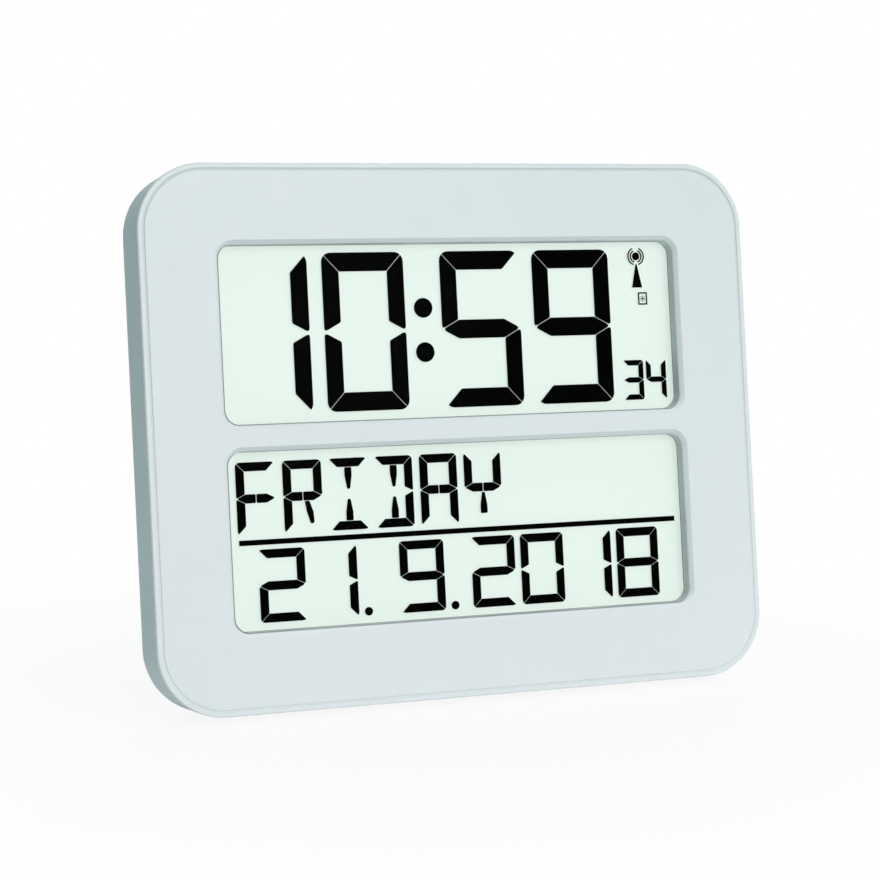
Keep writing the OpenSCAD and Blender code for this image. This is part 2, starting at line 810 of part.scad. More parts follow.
module key_switches() {
    color("#b9bcbc") placed()
        for (x = key_spots)
            difference() {
                span([x - switch_w / 2, key_board_y, key_z - switch_w / 2],
                     [x + switch_w / 2, switch_top, key_z + switch_w / 2]);
                post(x, key_z, switch_top - plunger_deep - 0.3, switch_top + 1,
                     plunger_r + bearing_gap);
            }
}

module key_board() {
    color("#2f6b46") placed() difference() {
        span([-key_board_l / 2, key_board_y - key_board_t, key_z - key_board_h / 2],
             [key_board_l / 2, key_board_y, key_z + key_board_h / 2]);
        for (s = [-1, 1])
            post(s * key_post_x, key_z, key_board_y - 3, key_board_y + 1, small_screw_r + 0.2);
    }
}

module key_board_screws() {
    // heads on the front side of the board, tips in the cover's posts
    color("silver") placed() for (s = [-1, 1])
        translate([0, 2 * key_board_y - key_board_t, 0]) mirror([0, 1, 0])
            screw(s * key_post_x, key_z, key_board_y - key_board_t - 4.5, key_board_y,
                  small_screw_r, small_head_r, small_head_t);
}

// Flat cable in an S from the key board down to the main board
module key_ribbon() {
    ribbon_w = 12;
    ribbon_t = 0.5;
    top_y = key_board_y - key_board_t;
    run = top_y - board_back;
    bend = run / 2;
    x0 = 20;
    color("#d8d2c0") placed() translate([x0, board_back, key_z - 4]) rotate([90, 0, 90])
        linear_extrude(ribbon_w) {
            // half ring between the two boards, and the two soldered ends
            translate([bend, 0]) intersection() {
                difference() {
                    circle(bend);
                    circle(bend - ribbon_t);
                }
                translate([-bend, 0]) square([2 * bend, bend]);
            }
            translate([0, -3]) square([ribbon_t, 3 + tiny]);
            translate([run - ribbon_t, -3]) square([ribbon_t, 3 + tiny]);
        }
}

// ---- Display -------------------------------------------------------------

// A display's pieces are drawn for the upper window; side -1 turns them over
// for the lower one, so that its contact ledge lies along the bottom edge.
module glass_outline(side, ledge) {
    low = -glass_h / 2;
    translate([-glass_w / 2, side > 0 ? low : low - ledge])
        square([glass_w, glass_h + ledge]);
}

module glass_front(side) {
    color("#e4f6ec", 0.35) placed() translate([0, 0, side * window_z])
        slab(front_glass_y, figure_y) glass_outline(side, contact_ledge);
}

module glass_back(side) {
    color("#e4f6ec", 0.35) placed() translate([0, 0, side * window_z])
        slab(back_glass_y, reflector_y) glass_outline(side, 0);
}

module seal(side) {
    seal_w = 1;
    color("#e8f0ea") placed() translate([0, 0, side * window_z])
        slab(figure_y, back_glass_y) difference() {
            square([glass_w, glass_h], center = true);
            square([glass_w - 2 * seal_w, glass_h - 2 * seal_w], center = true);
        }
}

module reflector(side) {
    color("#dff2e6") placed() translate([0, 0, side * window_z])
        slab(reflector_y, pad_y) square([glass_w, glass_h], center = true);
}

module pad(side) {
    color("#404446") placed() translate([0, 0, side * window_z])
        slab(pad_y, board_y) difference() {
            square([glass_w, glass_h], center = true);
            square([glass_w - 24, glass_h - 24], center = true);
        }
}

module zebra(side) {
    zebra_w = 2;
    color("#c0c4c8") placed()
        translate([0, 0, side * (window_z + glass_h / 2 + contact_ledge / 2)])
            slab(figure_y, board_y) square([glass_w - 12, zebra_w], center = true);
}

// One segment of a seven-segment figure, in a cell whose lower left corner is
// the origin, with level strokes t and upright strokes v. The mitres at the
// corners run at about 45 degrees, and those at the middle bar fall by half a
// stroke over its width.
function segment_points(name, w, h, t, v) =
    let (s = figure_gap / sqrt(2), m = figure_gap * sqrt(5) / 4, c = h / 2)
    name == "a" ? [[s, h], [w - s, h], [w - v - s, h - t], [v + s, h - t]] :
    name == "b" ? [[w, h - s], [w, c + m], [w - v, c + t / 2 + m], [w - v, h - t - s]] :
    name == "c" ? [[w, s], [w - v, t + s], [w - v, c - t / 2 - m], [w, c - m]] :
    name == "d" ? [[s, 0], [v + s, t], [w - v - s, t], [w - s, 0]] :
    name == "e" ? [[0, s], [0, c - m], [v, c - t / 2 - m], [v, t + s]] :
    name == "f" ? [[0, h - s], [v, h - t - s], [v, c + t / 2 + m], [0, c + m]] :
    [[2 * m, c], [v + 2 * m, c + t / 2], [w - v - 2 * m, c + t / 2],
     [w - 2 * m, c], [w - v - 2 * m, c - t / 2], [v + 2 * m, c - t / 2]];

module figure(value, x, z, w, h, t, v) {
    corner = t * 0.22;
    translate([x, z]) intersection() {
        translate([w / 2, h / 2]) rounded_rect(w, h, corner);
        for (name = SEGMENTS[value]) polygon(segment_points(name, w, h, t, v));
    }
}

// Decimal place p of n, 0 the units
function digit(n, p) = floor(n / pow(10, p)) % 10;

module time_figures() {
    left = -window_w / 2 + time_left;
    low = -window_h / 2 + time_low;
    hour_x = left + time_w + time_gap;
    minute_x = hour_x + time_w + colon_space;
    unit_x = minute_x + time_w + time_gap;
    places = [left, hour_x, minute_x, unit_x];
    values = [digit(shown_hour, 1), digit(shown_hour, 0),
              digit(shown_minute, 1), digit(shown_minute, 0)];
    second_x = unit_x + time_w + second_space;
    second_z = -window_h / 2 + second_low;
    color("#101314") placed() translate([0, 0, window_z])
        slab(figure_y, back_glass_y) {
            for (i = [0:3])
                figure(values[i], places[i], low, time_w, time_h, time_stroke, time_upright);
            for (s = [-1, 1])
                translate([minute_x - colon_space / 2, low + time_h / 2 + s * colon_rise])
                    circle(colon_r);
            for (p = [0, 1])
                figure(digit(shown_second, 1 - p), second_x + p * (second_w + second_gap),
                       second_z, second_w, second_h, second_stroke, second_stroke);
        }
}

module date_figures() {
    day_x = -window_w / 2 + date_left;
    unit_x = day_x + date_w + date_gap;
    month_x = unit_x + date_w + month_space;
    year_x = month_x + date_w + year_space;
    places = concat([day_x, unit_x, month_x],
                    [for (p = [0:3]) year_x + p * (date_w + date_gap)]);
    values = concat([digit(shown_day, 1), digit(shown_day, 0), shown_month],
                    [for (p = [0:3]) digit(shown_year, 3 - p)]);
    low = -window_h / 2 + date_low;
    color("#101314") placed() translate([0, 0, -window_z])
        slab(figure_y, back_glass_y) {
            for (i = [0:6])
                figure(values[i], places[i], low, date_w, date_h, date_stroke, date_stroke);
            for (x = [unit_x, month_x])
                translate([x + date_w + dot_offset, low + dot_r]) circle(dot_r);
            translate([-window_w / 2 + divider_left, -divider_drop - divider_t / 2])
                square([window_w - divider_left - divider_right, divider_t]);
        }
}

module time_glass_front() { glass_front(1); }
module time_glass_back() { glass_back(1); }
module time_seal() { seal(1); }
module time_reflector() { reflector(1); }
module time_pad() { pad(1); }
module time_zebra() { zebra(1); }
module date_glass_front() { glass_front(-1); }
module date_glass_back() { glass_back(-1); }
module date_seal() { seal(-1); }
module date_reflector() { reflector(-1); }
module date_pad() { pad(-1); }
module date_zebra() { zebra(-1); }

// ---- Electronics ---------------------------------------------------------

module main_board() {
    color("#2f6b46") placed() slab(board_y, board_back) difference() {
        square([board_w, board_h], center = true);
        for (p = board_spots) translate(p) circle(small_screw_r + 0.3);
    }
}

// Chips under their round resin caps, and small soldered parts beside them
module board_parts() {
    blob_r = 7;
    chip_x = -window_w / 2 + 22;
    color("#1c1e20") placed() {
        for (s = [-1, 1]) {
            post(chip_x, s * window_z, board_back, board_back + 0.8, blob_r);
            post(chip_x, s * window_z, board_back + 0.8 - tiny, board_back + 1.5, blob_r - 1.5);
        }
        for (s = [-1, 1], i = [0:5])
            span([chip_x + 14 + 5 * i, board_back, s * window_z - 1],
                 [chip_x + 16 + 5 * i, board_back + 0.9, s * window_z + 1]);
    }
}

// Watch crystal in its can, lying on the board
module quartz_crystal() {
    can_r = 1.5;
    chip_x = -window_w / 2 + 22;
    color("silver") placed() translate([chip_x + 4, board_back + can_r, window_z - 12])
        rotate([0, 90, 0]) cylinder(h = 8, r = can_r);
}

module board_screws() {
    color("silver") placed() for (p = board_spots)
        screw(p[0], p[1], plate_t + 1.2, board_back, small_screw_r, small_head_r, small_head_t);
}

module receiver_board() {
    color("#2f6b46") placed()
        translate([receiver_x, 0, receiver_z]) slab(receiver_y, receiver_y + receiver_t)
            square(receiver, center = true);
}

// Pin strip that carries the receiver board on the main board
module receiver_header() {
    color("#1c1e20") placed()
        translate([receiver_x, 0, receiver_z]) slab(board_back, receiver_y)
            square([receiver[0] - 4, 2.5], center = true);
}

module antenna_rod() {
    color("#3a3a3c") placed() translate([rod_x, 0, 0]) bar(rod_y, rod_z, rod_l, rod_r);
}

module antenna_coil() {
    color("#a8602c") placed() translate([rod_x, 0, 0]) difference() {
        bar(rod_y, rod_z, coil_l, coil_r);
        bar(rod_y, rod_z, coil_l + 2, rod_r + thread_gap);
    }
}

// Two fine wires, sagging from the coil's underside to the receiver board
function antenna_lead(i) = let (
        from = [rod_x + coil_l / 2 - 4 - 8 * i, rod_y, rod_z - coil_r - lead_r],
        to = [receiver_x - 4, receiver_y + receiver_t + lead_r, receiver_z + 4 - 5 * i])
    [for (k = [0:16]) let (f = k / 16)
        from + (to - from) * f - [0, 0, (4 + 2 * i) * sin(180 * f)]];

module antenna_leads() {
    color("#b03030") placed() for (i = [0, 1]) tube(antenna_lead(i), lead_r);
}

module housing_screws() {
    seat = boss_end + well_floor;
    color("silver") placed() for (p = boss_spots)
        screw(p[0], p[1], plate_t + 3, seat, screw_r, screw_head_r, screw_head_t);
}

front_frame();
rear_cover();
stand();
battery_door();
battery_upper();
battery_lower();
battery_springs();
terminal_upper();
terminal_lower();
terminal_bridge();
battery_leads();
button_mode();
button_set();
button_plus();
button_minus();
plunger_mode();
plunger_set();
plunger_plus();
plunger_minus();
key_board();
key_switches();
key_board_screws();
key_ribbon();
time_glass_front();
time_glass_back();
time_seal();
time_figures();
time_reflector();
time_pad();
time_zebra();
date_glass_front();
date_glass_back();
date_seal();
date_figures();
date_reflector();
date_pad();
date_zebra();
main_board();
board_parts();
quartz_crystal();
board_screws();
receiver_board();
receiver_header();
antenna_rod();
antenna_coil();
antenna_leads();
housing_screws();
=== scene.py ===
"""Looks of a large-display day clock: finishes, display figures, windings and marks.

Lengths are metres. A point on the clock is given as (x, depth, height): x to the
right, depth from the front face towards the back, height up the leaning case, all
from the centre of the front face.
"""

import json
import math

import bmesh
import bpy
from mathutils import Matrix, Vector


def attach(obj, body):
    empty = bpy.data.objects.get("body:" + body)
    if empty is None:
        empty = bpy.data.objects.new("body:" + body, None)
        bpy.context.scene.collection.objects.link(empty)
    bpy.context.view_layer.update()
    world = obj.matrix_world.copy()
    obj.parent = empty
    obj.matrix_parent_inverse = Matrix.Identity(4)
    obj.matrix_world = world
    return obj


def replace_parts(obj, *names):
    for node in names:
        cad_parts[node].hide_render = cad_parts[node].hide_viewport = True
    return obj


bl_info = {
    "name": "Day clock",
    "version": (1, 0, 0),
    "blender": (4, 5, 0),
    "location": "View3D > Sidebar > Day clock",
    "description": "Finishes and fine pieces of a large-display day clock",
    "category": "Object",
}

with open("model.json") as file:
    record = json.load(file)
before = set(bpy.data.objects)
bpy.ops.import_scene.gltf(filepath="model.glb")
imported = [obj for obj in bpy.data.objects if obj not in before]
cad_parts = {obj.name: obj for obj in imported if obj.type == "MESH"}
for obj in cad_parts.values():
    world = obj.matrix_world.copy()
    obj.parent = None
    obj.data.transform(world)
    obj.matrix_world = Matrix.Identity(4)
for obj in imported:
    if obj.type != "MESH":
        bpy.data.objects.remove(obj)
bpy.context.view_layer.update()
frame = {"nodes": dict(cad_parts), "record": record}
MM = 0.001
QUARTER = math.radians(90)
CLEAR = 0.01 * MM  # kept between faces that would else lie in one plane


# ---- The leaning case -------------------------------------------------------

MOUNTS = {mount["name"]: mount for mount in frame["record"]["mounts"]}
RIGHT = Vector((1, 0, 0))
BACK = Vector(MOUNTS["wall_keyhole"]["axis"]).normalized()
UP = RIGHT.cross(BACK)


def spread(node, axis):
    """Least and greatest reach of a CAD node along an axis."""
    reach = [vertex.co.dot(axis) for vertex in frame["nodes"][node].data.vertices]
    return min(reach), max(reach)


def case_origin():
    """Centre of the front face."""
    low, high = spread("front_frame", UP)
    return BACK * spread("front_frame", BACK)[0] + UP * (low + high) / 2


ORIGIN = case_origin()
CASE = Matrix.Translation(ORIGIN) @ Matrix((RIGHT, BACK, UP)).transposed().to_4x4()


def case_box(node):
    """Lowest and highest corner of a CAD node as (x, depth, height)."""
    corners = zip(*(spread(node, axis) for axis in (RIGHT, BACK, UP)))
    shift = CASE.inverted().to_translation()
    return [Vector(corner) + shift for corner in corners]


# ---- Node trees -------------------------------------------------------------


def math_method(operation, reflected=False):
    """A method that adds a Math node, its values turned round in a reflected form."""

    def method(signal, *others):
        values = (signal, *others)
        inputs = dict(enumerate(values[::-1] if reflected else values))
        return signal.graph.node("ShaderNodeMath", {"operation": operation}, inputs)

    return method


class Signal:
    """An output socket that takes part in Python arithmetic."""

    def __init__(self, graph, socket):
        self.graph = graph
        self.socket = socket

    __add__ = __radd__ = math_method("ADD")
    __sub__ = math_method("SUBTRACT")
    __rsub__ = math_method("SUBTRACT", reflected=True)
    __mul__ = __rmul__ = math_method("MULTIPLY")
    __truediv__ = math_method("DIVIDE")
    __rtruediv__ = math_method("DIVIDE", reflected=True)
    __gt__ = math_method("GREATER_THAN")
    __lt__ = math_method("LESS_THAN")
    absolute = math_method("ABSOLUTE")
    sign = math_method("SIGN")
    root = math_method("SQRT")
    sine = math_method("SINE")
    at_least = math_method("MAXIMUM")

    def __neg__(self):
        return self * -1.0

    def between(self, low, high):
        """1 where the value is between two limits, else 0."""
        return (self > low) * (self < high)

    def clamped(self):
        limits = {"Min": 0.0, "Max": 1.0, "Value": self}
        return self.graph.node("ShaderNodeClamp", {}, limits)

    def wave(self, period):
        """Sine of the value, from 0 to 1, once in each period."""
        return (self * (2 * math.pi / period)).sine() * 0.5 + 0.5


class Graph:
    """A node tree, filled by one method."""

    def __init__(self, tree):
        self.tree = tree

    def node(self, kind, settings, inputs, output=0):
        """Adds a node: its settings first, then values or links into its sockets."""
        made = self.tree.nodes.new(kind)
        for name, value in settings.items():
            setattr(made, name, value)
        for key, value in inputs.items():
            signals = [value] if isinstance(value, Signal) else value
            if isinstance(signals, list) and isinstance(signals[0], Signal):
                for signal in signals:
                    self.tree.links.new(signal.socket, made.inputs[key])
            else:
                made.inputs[key].default_value = value
        return Signal(self, made.outputs[output]) if made.outputs else made

    def mix(self, factor, first, second):
        """Colour between two colours."""
        inputs = {"Factor": factor, 6: first, 7: second}
        return self.node("ShaderNodeMix", {"data_type": "RGBA"}, inputs, 2)


class Growth(Graph):
    """A geometry node tree whose named inputs are sizes, and the piece that it grows."""

    def __init__(self, name, **sizes):
        super().__init__(bpy.data.node_groups.new(name, "GeometryNodeTree"))
        self.name, self.sizes = name, sizes
        for key, value in sizes.items():
            kind = "NodeSocketInt" if isinstance(value, int) else "NodeSocketFloat"
            self.tree.interface.new_socket(key, in_out="INPUT", socket_type=kind)
        self.tree.interface.new_socket(
            "Shape", in_out="OUTPUT", socket_type="NodeSocketGeometry")

    def __getitem__(self, key):
        """One of the named inputs."""
        return self.node("NodeGroupInput", {}, {}, key)

    def vector(self, x=0.0, y=0.0, z=0.0):
        return self.node("ShaderNodeCombineXYZ", {}, {0: x, 1: y, 2: z})

    def moved(self, shape, offset, turn=(0.0, 0.0, 0.0)):
        inputs = {"Geometry": shape, "Translation": offset, "Rotation": turn}
        return self.node("GeometryNodeTransform", {}, inputs)

    def joined(self, *shapes):
        return self.node("GeometryNodeJoinGeometry", {}, {"Geometry": list(shapes)})

    def swept(self, path, profile):
        """A profile curve drawn along a path, with closed ends."""
        inputs = {"Curve": path, "Profile Curve": profile, "Fill Caps": True}
        return self.node("GeometryNodeCurveToMesh", {}, inputs)

    def row(self, shape, count, step):
        """Copies of a shape, one step apart to the right."""
        line = self.node("GeometryNodeMeshLine", {},
                         {"Count": count, "Offset": self.vector(step)})
        inputs = {"Points": line, "Instance": shape}
        return self.node("GeometryNodeInstanceOnPoints", {}, inputs)

    def rectangle(self, width, height):
        inputs = {"Width": width, "Height": height}
        return self.node("GeometryNodeCurvePrimitiveQuadrilateral", {}, inputs)

    def circle(self, radius, resolution):
        inputs = {"Radius": radius, "Resolution": resolution}
        return self.node("GeometryNodeCurvePrimitiveCircle", {}, inputs)

    def grown(self, shape, material, slot):
        """Evaluates the tree into a plain mesh in case coordinates, fixed to the case."""
        whole = self.node("GeometryNodeRealizeInstances", {}, {0: shape})
        painted = self.node(
            "GeometryNodeSetMaterial", {}, {"Geometry": whole, "Material": material})
        self.node("NodeGroupOutput", {}, {0: painted})
        made = linked(self.name, bpy.data.meshes.new(self.name))
        modifier = made.modifiers.new(self.name, "NODES")
        modifier.node_group = self.tree
        for item in self.tree.interface.items_tree:
            if item.in_out == "INPUT":
                modifier[item.identifier] = self.sizes[item.name]
        state = bpy.context.evaluated_depsgraph_get()
        data = bpy.data.meshes.new_from_object(made.evaluated_get(state), depsgraph=state)
        made.modifiers.clear()
        made.data = data
        return placed(made, "case")


# ---- Finishes ---------------------------------------------------------------

FINISHES = {}
BLACK, WHITE = (0.0, 0.0, 0.0, 1.0), (1.0, 1.0, 1.0, 1.0)

# Moulded plastic: size of its cloudy tone and of its uneven gloss, depth of its pores
CLOUD, FLOW, PORE_DEPTH = 45 * MM, 12 * MM, 0.02 * MM
PLASTIC_IOR = 1.49
# How much the roughness of a plastic varies, and that of a metal in each of two noises
UNEVEN = 0.12


def linear(red, green, blue):
    """A colour written as 0 to 255 screen levels, in scene-linear values."""
    return [((level / 255 + 0.055) / 1.055) ** 2.4 for level in (red, green, blue)] + [1.0]


class Finish(Graph):
    """The node tree of one material, on Object coordinates."""

    def __init__(self, name):
        self.material = FINISHES[name] = bpy.data.materials.new(name)
        self.material.use_nodes = True
        super().__init__(self.material.node_tree)
        self.tree.nodes.clear()
        self.place = self.node("ShaderNodeTexCoord", {}, {}, "Object")

    def vector(self, operation, *values, output=0):
        inputs = dict(enumerate(values))
        return self.node("ShaderNodeVectorMath", {"operation": operation}, inputs, output)

    def scaled(self, direction, amount):
        """A fixed direction times a varying amount."""
        return self.node("ShaderNodeVectorMath", {"operation": "SCALE"},
                         {0: direction, "Scale": amount})

    def along(self, axis):
        """Distance from the middle of the front face along a direction."""
        reach = self.vector("DOT_PRODUCT", self.place, axis, output="Value")
        return reach - ORIGIN.dot(axis)

    def off_outline(self, x, z, half_w, half_h, radius):
        """Distance outside a rounded rectangle in front view, and the direction from it."""
        past_x = (x.absolute() - (half_w - radius)).at_least(0.0)
        past_z = (z.absolute() - (half_h - radius)).at_least(0.0)
        reach = (past_x * past_x + past_z * past_z).root()
        return reach - radius, x.sign() * past_x / reach, z.sign() * past_z / reach

    def noise(self, size, detail=2.0, roughness=0.5):
        """Noise from 0 to 1 whose features are about size across."""
        return self.node("ShaderNodeTexNoise", {},
                         {"Vector": self.place, "Scale": 1 / size, "Detail": detail,
                          "Roughness": roughness})

    def shade(self, colour, amount, signal):
        """A colour, lighter and darker by an amount where the signal strays from 0.5."""
        light = [min(1.0, c * (1 + amount)) for c in colour[:3]] + [1.0]
        dark = [c * (1 - amount) for c in colour[:3]] + [1.0]
        return self.mix(signal, dark, light)

    def bump(self, height, distance, normal=None):
        """Normal of a surface raised by height times a distance."""
        inputs = {"Height": height, "Distance": distance}
        if normal:
            inputs["Normal"] = normal
        return self.node("ShaderNodeBump", {}, inputs)

    def grain(self, size):
        """The tone of moulded plastic, and its pores alone."""
        pores = self.noise(size, roughness=0.6)
        return self.noise(CLOUD, detail=3.0) * 0.7 + pores * 0.3, pores

    def plastic(self, colour, pores, rough, normal=None):
        """Ends the tree in moulded plastic with pores and a slightly uneven gloss."""
        return self.surface(
            Base_Color=colour, Roughness=self.noise(FLOW) * UNEVEN + (rough - UNEVEN / 2),
            Normal=self.bump(pores, PORE_DEPTH, normal), IOR=PLASTIC_IOR)

    def surface(self, **sockets):
        """Ends the tree in a Principled surface and gives the material."""
        inputs = {name.replace("_", " "): value for name, value in sockets.items()}
        shader = self.node("ShaderNodeBsdfPrincipled", {}, inputs)
        self.node("ShaderNodeOutputMaterial", {}, {"Surface": shader})
        return self.material


def moulded(name, colour, grain, rough, tone=0.02):
    """Moulded plastic: fine eroded texture, faint cloudy tone, slightly uneven gloss."""
    finish = Finish(name)
    cloud, pores = finish.grain(grain)
    return finish.plastic(finish.shade(colour, tone, cloud), pores, rough)


def metal(name, colour, rough):
    """Bare metal with a fine grain and a slightly uneven shine."""
    finish = Finish(name)
    grain = finish.noise(0.15 * MM, roughness=0.6)
    dull = finish.noise(4 * MM)
    return finish.surface(
        Base_Color=finish.shade(colour, 0.08, grain), Metallic=1.0,
        Roughness=grain * UNEVEN + dull * UNEVEN + (rough - UNEVEN),
        Normal=finish.bump(grain, 0.004 * MM))


def display_glass():
    """Thin clear glass with the faintest veil."""
    finish = Finish("display_glass")
    smear = finish.noise(20 * MM)
    return finish.surface(Base_Color=linear(60, 70, 66), Alpha=smear * 0.002 + 0.001,
                          Roughness=smear * 0.05 + 0.05)


def display_figures(colour):
    """Darkened crystal, nearly black, with a trace of the cell's own grain."""
    finish = Finish("display_figures")
    grain = finish.noise(0.25 * MM, detail=1.0)
    return finish.surface(Base_Color=finish.shade(colour, 0.25, grain),
                          Roughness=grain * 0.1 + 0.45, Specular_IOR_Level=0.0)


def display_ground(colour):
    """Silvery green film with a painted glow, which keeps it evenly bright up to the window
    walls.
    """
    painted_glow = 0.72
    finish = Finish("display_ground")
    sparkle = finish.noise(0.12 * MM, detail=1.0, roughness=0.7)
    film = finish.shade(colour, 0.02, sparkle * 0.4 + finish.noise(60 * MM) * 0.6)
    # painted glow: most of the film's brightness is emitted rather than lit, so the walls'
    # shade hardly shows on it
    return finish.surface(
        Base_Color=finish.mix(painted_glow, film, BLACK), Roughness=sparkle * 0.2 + 0.5,
        Emission_Color=film, Emission_Strength=painted_glow)


def zebra_rubber():
    """Conducting rubber: dark and pale layers in turn along the strip."""
    finish = Finish("zebra_rubber")
    layers = finish.along(RIGHT).wave(0.5 * MM)
    return finish.surface(
        Base_Color=finish.mix(layers, linear(40, 42, 44), linear(206, 196, 186)),
        Roughness=layers * 0.2 + 0.6)


def circuit_board(colour):
    """Solder mask over copper tracks, with a woven glass trace."""
    thread, islands, track_edge = 0.9 * MM, 7 * MM, 0.06
    finish = Finish("circuit_board")
    weave = finish.along(RIGHT).wave(thread) * finish.along(UP).wave(thread)
    cells = finish.node("ShaderNodeTexVoronoi", {"feature": "DISTANCE_TO_EDGE"},
                        {"Vector": finish.place, "Scale": 1 / islands})
    tracks = cells > track_edge
    return finish.surface(
        Base_Color=finish.shade(colour, 0.15, weave * 0.4 + tracks * 0.6),
        Roughness=weave * 0.1 + 0.3, Normal=finish.bump(tracks, 0.03 * MM))


def ribbon_film():
    """Flat cable: pale film with a line for each wire."""
    finish = Finish("ribbon_film")
    wires = finish.along(RIGHT).wave(1.27 * MM)
    return finish.surface(
        Base_Color=finish.mix(wires, linear(190, 182, 160), linear(222, 217, 202)),
        Roughness=0.4, Normal=finish.bump(wires, 0.1 * MM))


def cell_wrap(colour):
    """Cell wrap with a band at each end and plain metal beyond the nub's shoulder."""
    band_from, metal_from = 16 * MM, 24.3 * MM
    finish = Finish("cell_wrap")
    low, high = case_box("battery_upper")
    away = (finish.along(RIGHT) - (low.x + high.x) / 2).absolute()
    bare = away > metal_from
    wrap = finish.mix(away > band_from, colour, linear(196, 200, 204))
    return finish.surface(
        Base_Color=finish.mix(bare, wrap, linear(190, 190, 188)), Metallic=bare * 0.9,
        Roughness=finish.noise(8 * MM, detail=1.0) * 0.08 + 0.26)


def copper_wire():
    """Enamelled copper, turn beside turn, with painted shade between the turns."""
    finish = Finish("copper_wire")
    turns = finish.along(RIGHT).wave(0.3 * MM)
    # painted shade: the colour turns darker and lighter from turn to turn
    return finish.surface(
        Base_Color=finish.shade(linear(176, 96, 52), 0.25, turns), Metallic=0.85,
        Roughness=0.35, Normal=finish.bump(turns, 0.1 * MM))


FRAME_GRAIN, FRAME_ROUGH, FRAME_TONE = 0.45 * MM, 0.42, 0.05
# Painted shade on the outer rim's side: its width in front view, and the depths between
# which it comes in
RIM, RIM_START, RIM_END = 0.3 * MM, 1 * MM, 2 * MM
# Where a window's walls lie, measured out from its outline
WALL_START, WALL_END = -1 * MM, 0.08 * MM
# How steep a window's rounded edge looks on the whole, and more above and at the right;
# the factor at its foot, and how much that falls towards the front face
STEEP, STEEP_ABOVE, STEEP_RIGHT = 0.65, 0.35, 0.25
FOOT_STEEP, STEEP_FALL = 1.3, 0.6
# Painted shade as a fine dark line at the edge's foot: how dark, and darker and wider at
# the left and below
FOOT_SHADE, FOOT_SHADE_LEFT, FOOT_SHADE_BELOW = 0.46, 0.26, 0.16
WIDER_LEFT, WIDER_BELOW = 2.0, 0.8
# How dark the painted shade makes the window walls, the rim's side and the groove, and how
# the groove's painted shade grows with height
WALL_SHADE, RIM_SHADE, GROOVE_SHADE, GROOVE_SHADE_GAIN = 0.36, 0.22, 0.1, 0.55


def frame_plastic(sizes, colours):
    """Moulded plastic with even bevels round the windows, painted shade in the groove, on
    the rim's side, on the window walls and at the windows' edges, and painted light towards
    the lower edge.
    """
    finish = Finish("frame_plastic")
    x, depth, z = (finish.along(axis) for axis in (RIGHT, BACK, UP))
    high = case_box("front_frame")[1]
    off = finish.off_outline(x, z, high.x, high.z, sizes.corner_r)[0]
    groove = off.between(-sizes.groove_inset - sizes.groove_w, -sizes.groove_inset)
    rim = (off > -RIM) * ((depth - RIM_START) / (RIM_END - RIM_START)).clamped()
    _, window_low, right, window_top = window_of(sizes, "time")
    rise = (window_low + window_top) / 2
    off, away_x, away_z = finish.off_outline(
        x, z.absolute() - rise, right, window_top - rise, sizes.window_r)
    front = depth < sizes.window_round
    upward = away_z * z.sign()
    above = (upward * 3 - 2).clamped()  # 1 straight above, 0 from a third aside
    below, leftward, rightward = (-upward).clamped(), (-away_x).clamped(), away_x.clamped()
    wall = off.between(WALL_START, WALL_END) * (depth > sizes.window_round)
    bevel = off.between(WALL_END, sizes.window_round) * front + wall * above
    foot_shade_w = (leftward * WIDER_LEFT + below * WIDER_BELOW + 1) * sizes.shade_w
    # painted shade: a fine dark line at the foot of each window's rounded edge, none at the
    # right or the top
    line = ((off < foot_shade_w) * front * (1 - rightward) * (1 - above)
            * (leftward * FOOT_SHADE_LEFT + below * FOOT_SHADE_BELOW + FOOT_SHADE))
    steep = ((upward * STEEP_ABOVE + away_x * STEEP_RIGHT + STEEP)
             * (FOOT_STEEP - off.clamped() * (STEEP_FALL / sizes.window_round)))
    inward = finish.vector("ADD", finish.scaled(RIGHT, -away_x * steep),
                           finish.scaled(UP, -upward * steep))
    facing = finish.vector("NORMALIZE", finish.vector("ADD", inward, -BACK))
    turned = finish.node("ShaderNodeVectorTransform",
                         {"vector_type": "NORMAL", "convert_from": "OBJECT",
                          "convert_to": "WORLD"}, {0: facing})
    plain = finish.node("ShaderNodeNewGeometry", {}, {}, "Normal")
    normal = finish.node("ShaderNodeMix", {"data_type": "VECTOR"},
                         {0: bevel, 4: plain, 5: turned}, 1)
    cloud, pores = finish.grain(FRAME_GRAIN)
    # painted light: the frame turns paler towards its lower edge
    lowness = (0.5 - z / (2 * high.z)).clamped()
    pale = finish.mix(lowness, colours.frame, colours.frame_painted_low_light)
    tone = finish.mix(cloud * FRAME_TONE, pale, linear(180, 186, 188))
    # painted shade: darkens the groove (more towards the top), the fine line at the
    # windows' edges, the rim's side and the window walls below the top
    painted_shade = (groove * (z * GROOVE_SHADE_GAIN + GROOVE_SHADE) + line + rim * RIM_SHADE
                + wall * (1 - above) * WALL_SHADE)
    shaded_tone = finish.mix(painted_shade, tone, linear(60, 66, 68))
    return finish.plastic(shaded_tone, pores, FRAME_ROUGH, normal)


# ---- Shapes -----------------------------------------------------------------

DISC_SIDES, RING_STEPS, CORNER_STEPS = 24, 14, 5
SHORT = 0.01 * MM  # a side shorter than this is left out
BLUNT = math.radians(152)  # a corner wider than this stays as it is
CUT_SHARE = 0.4  # how much of a side a softened corner may take


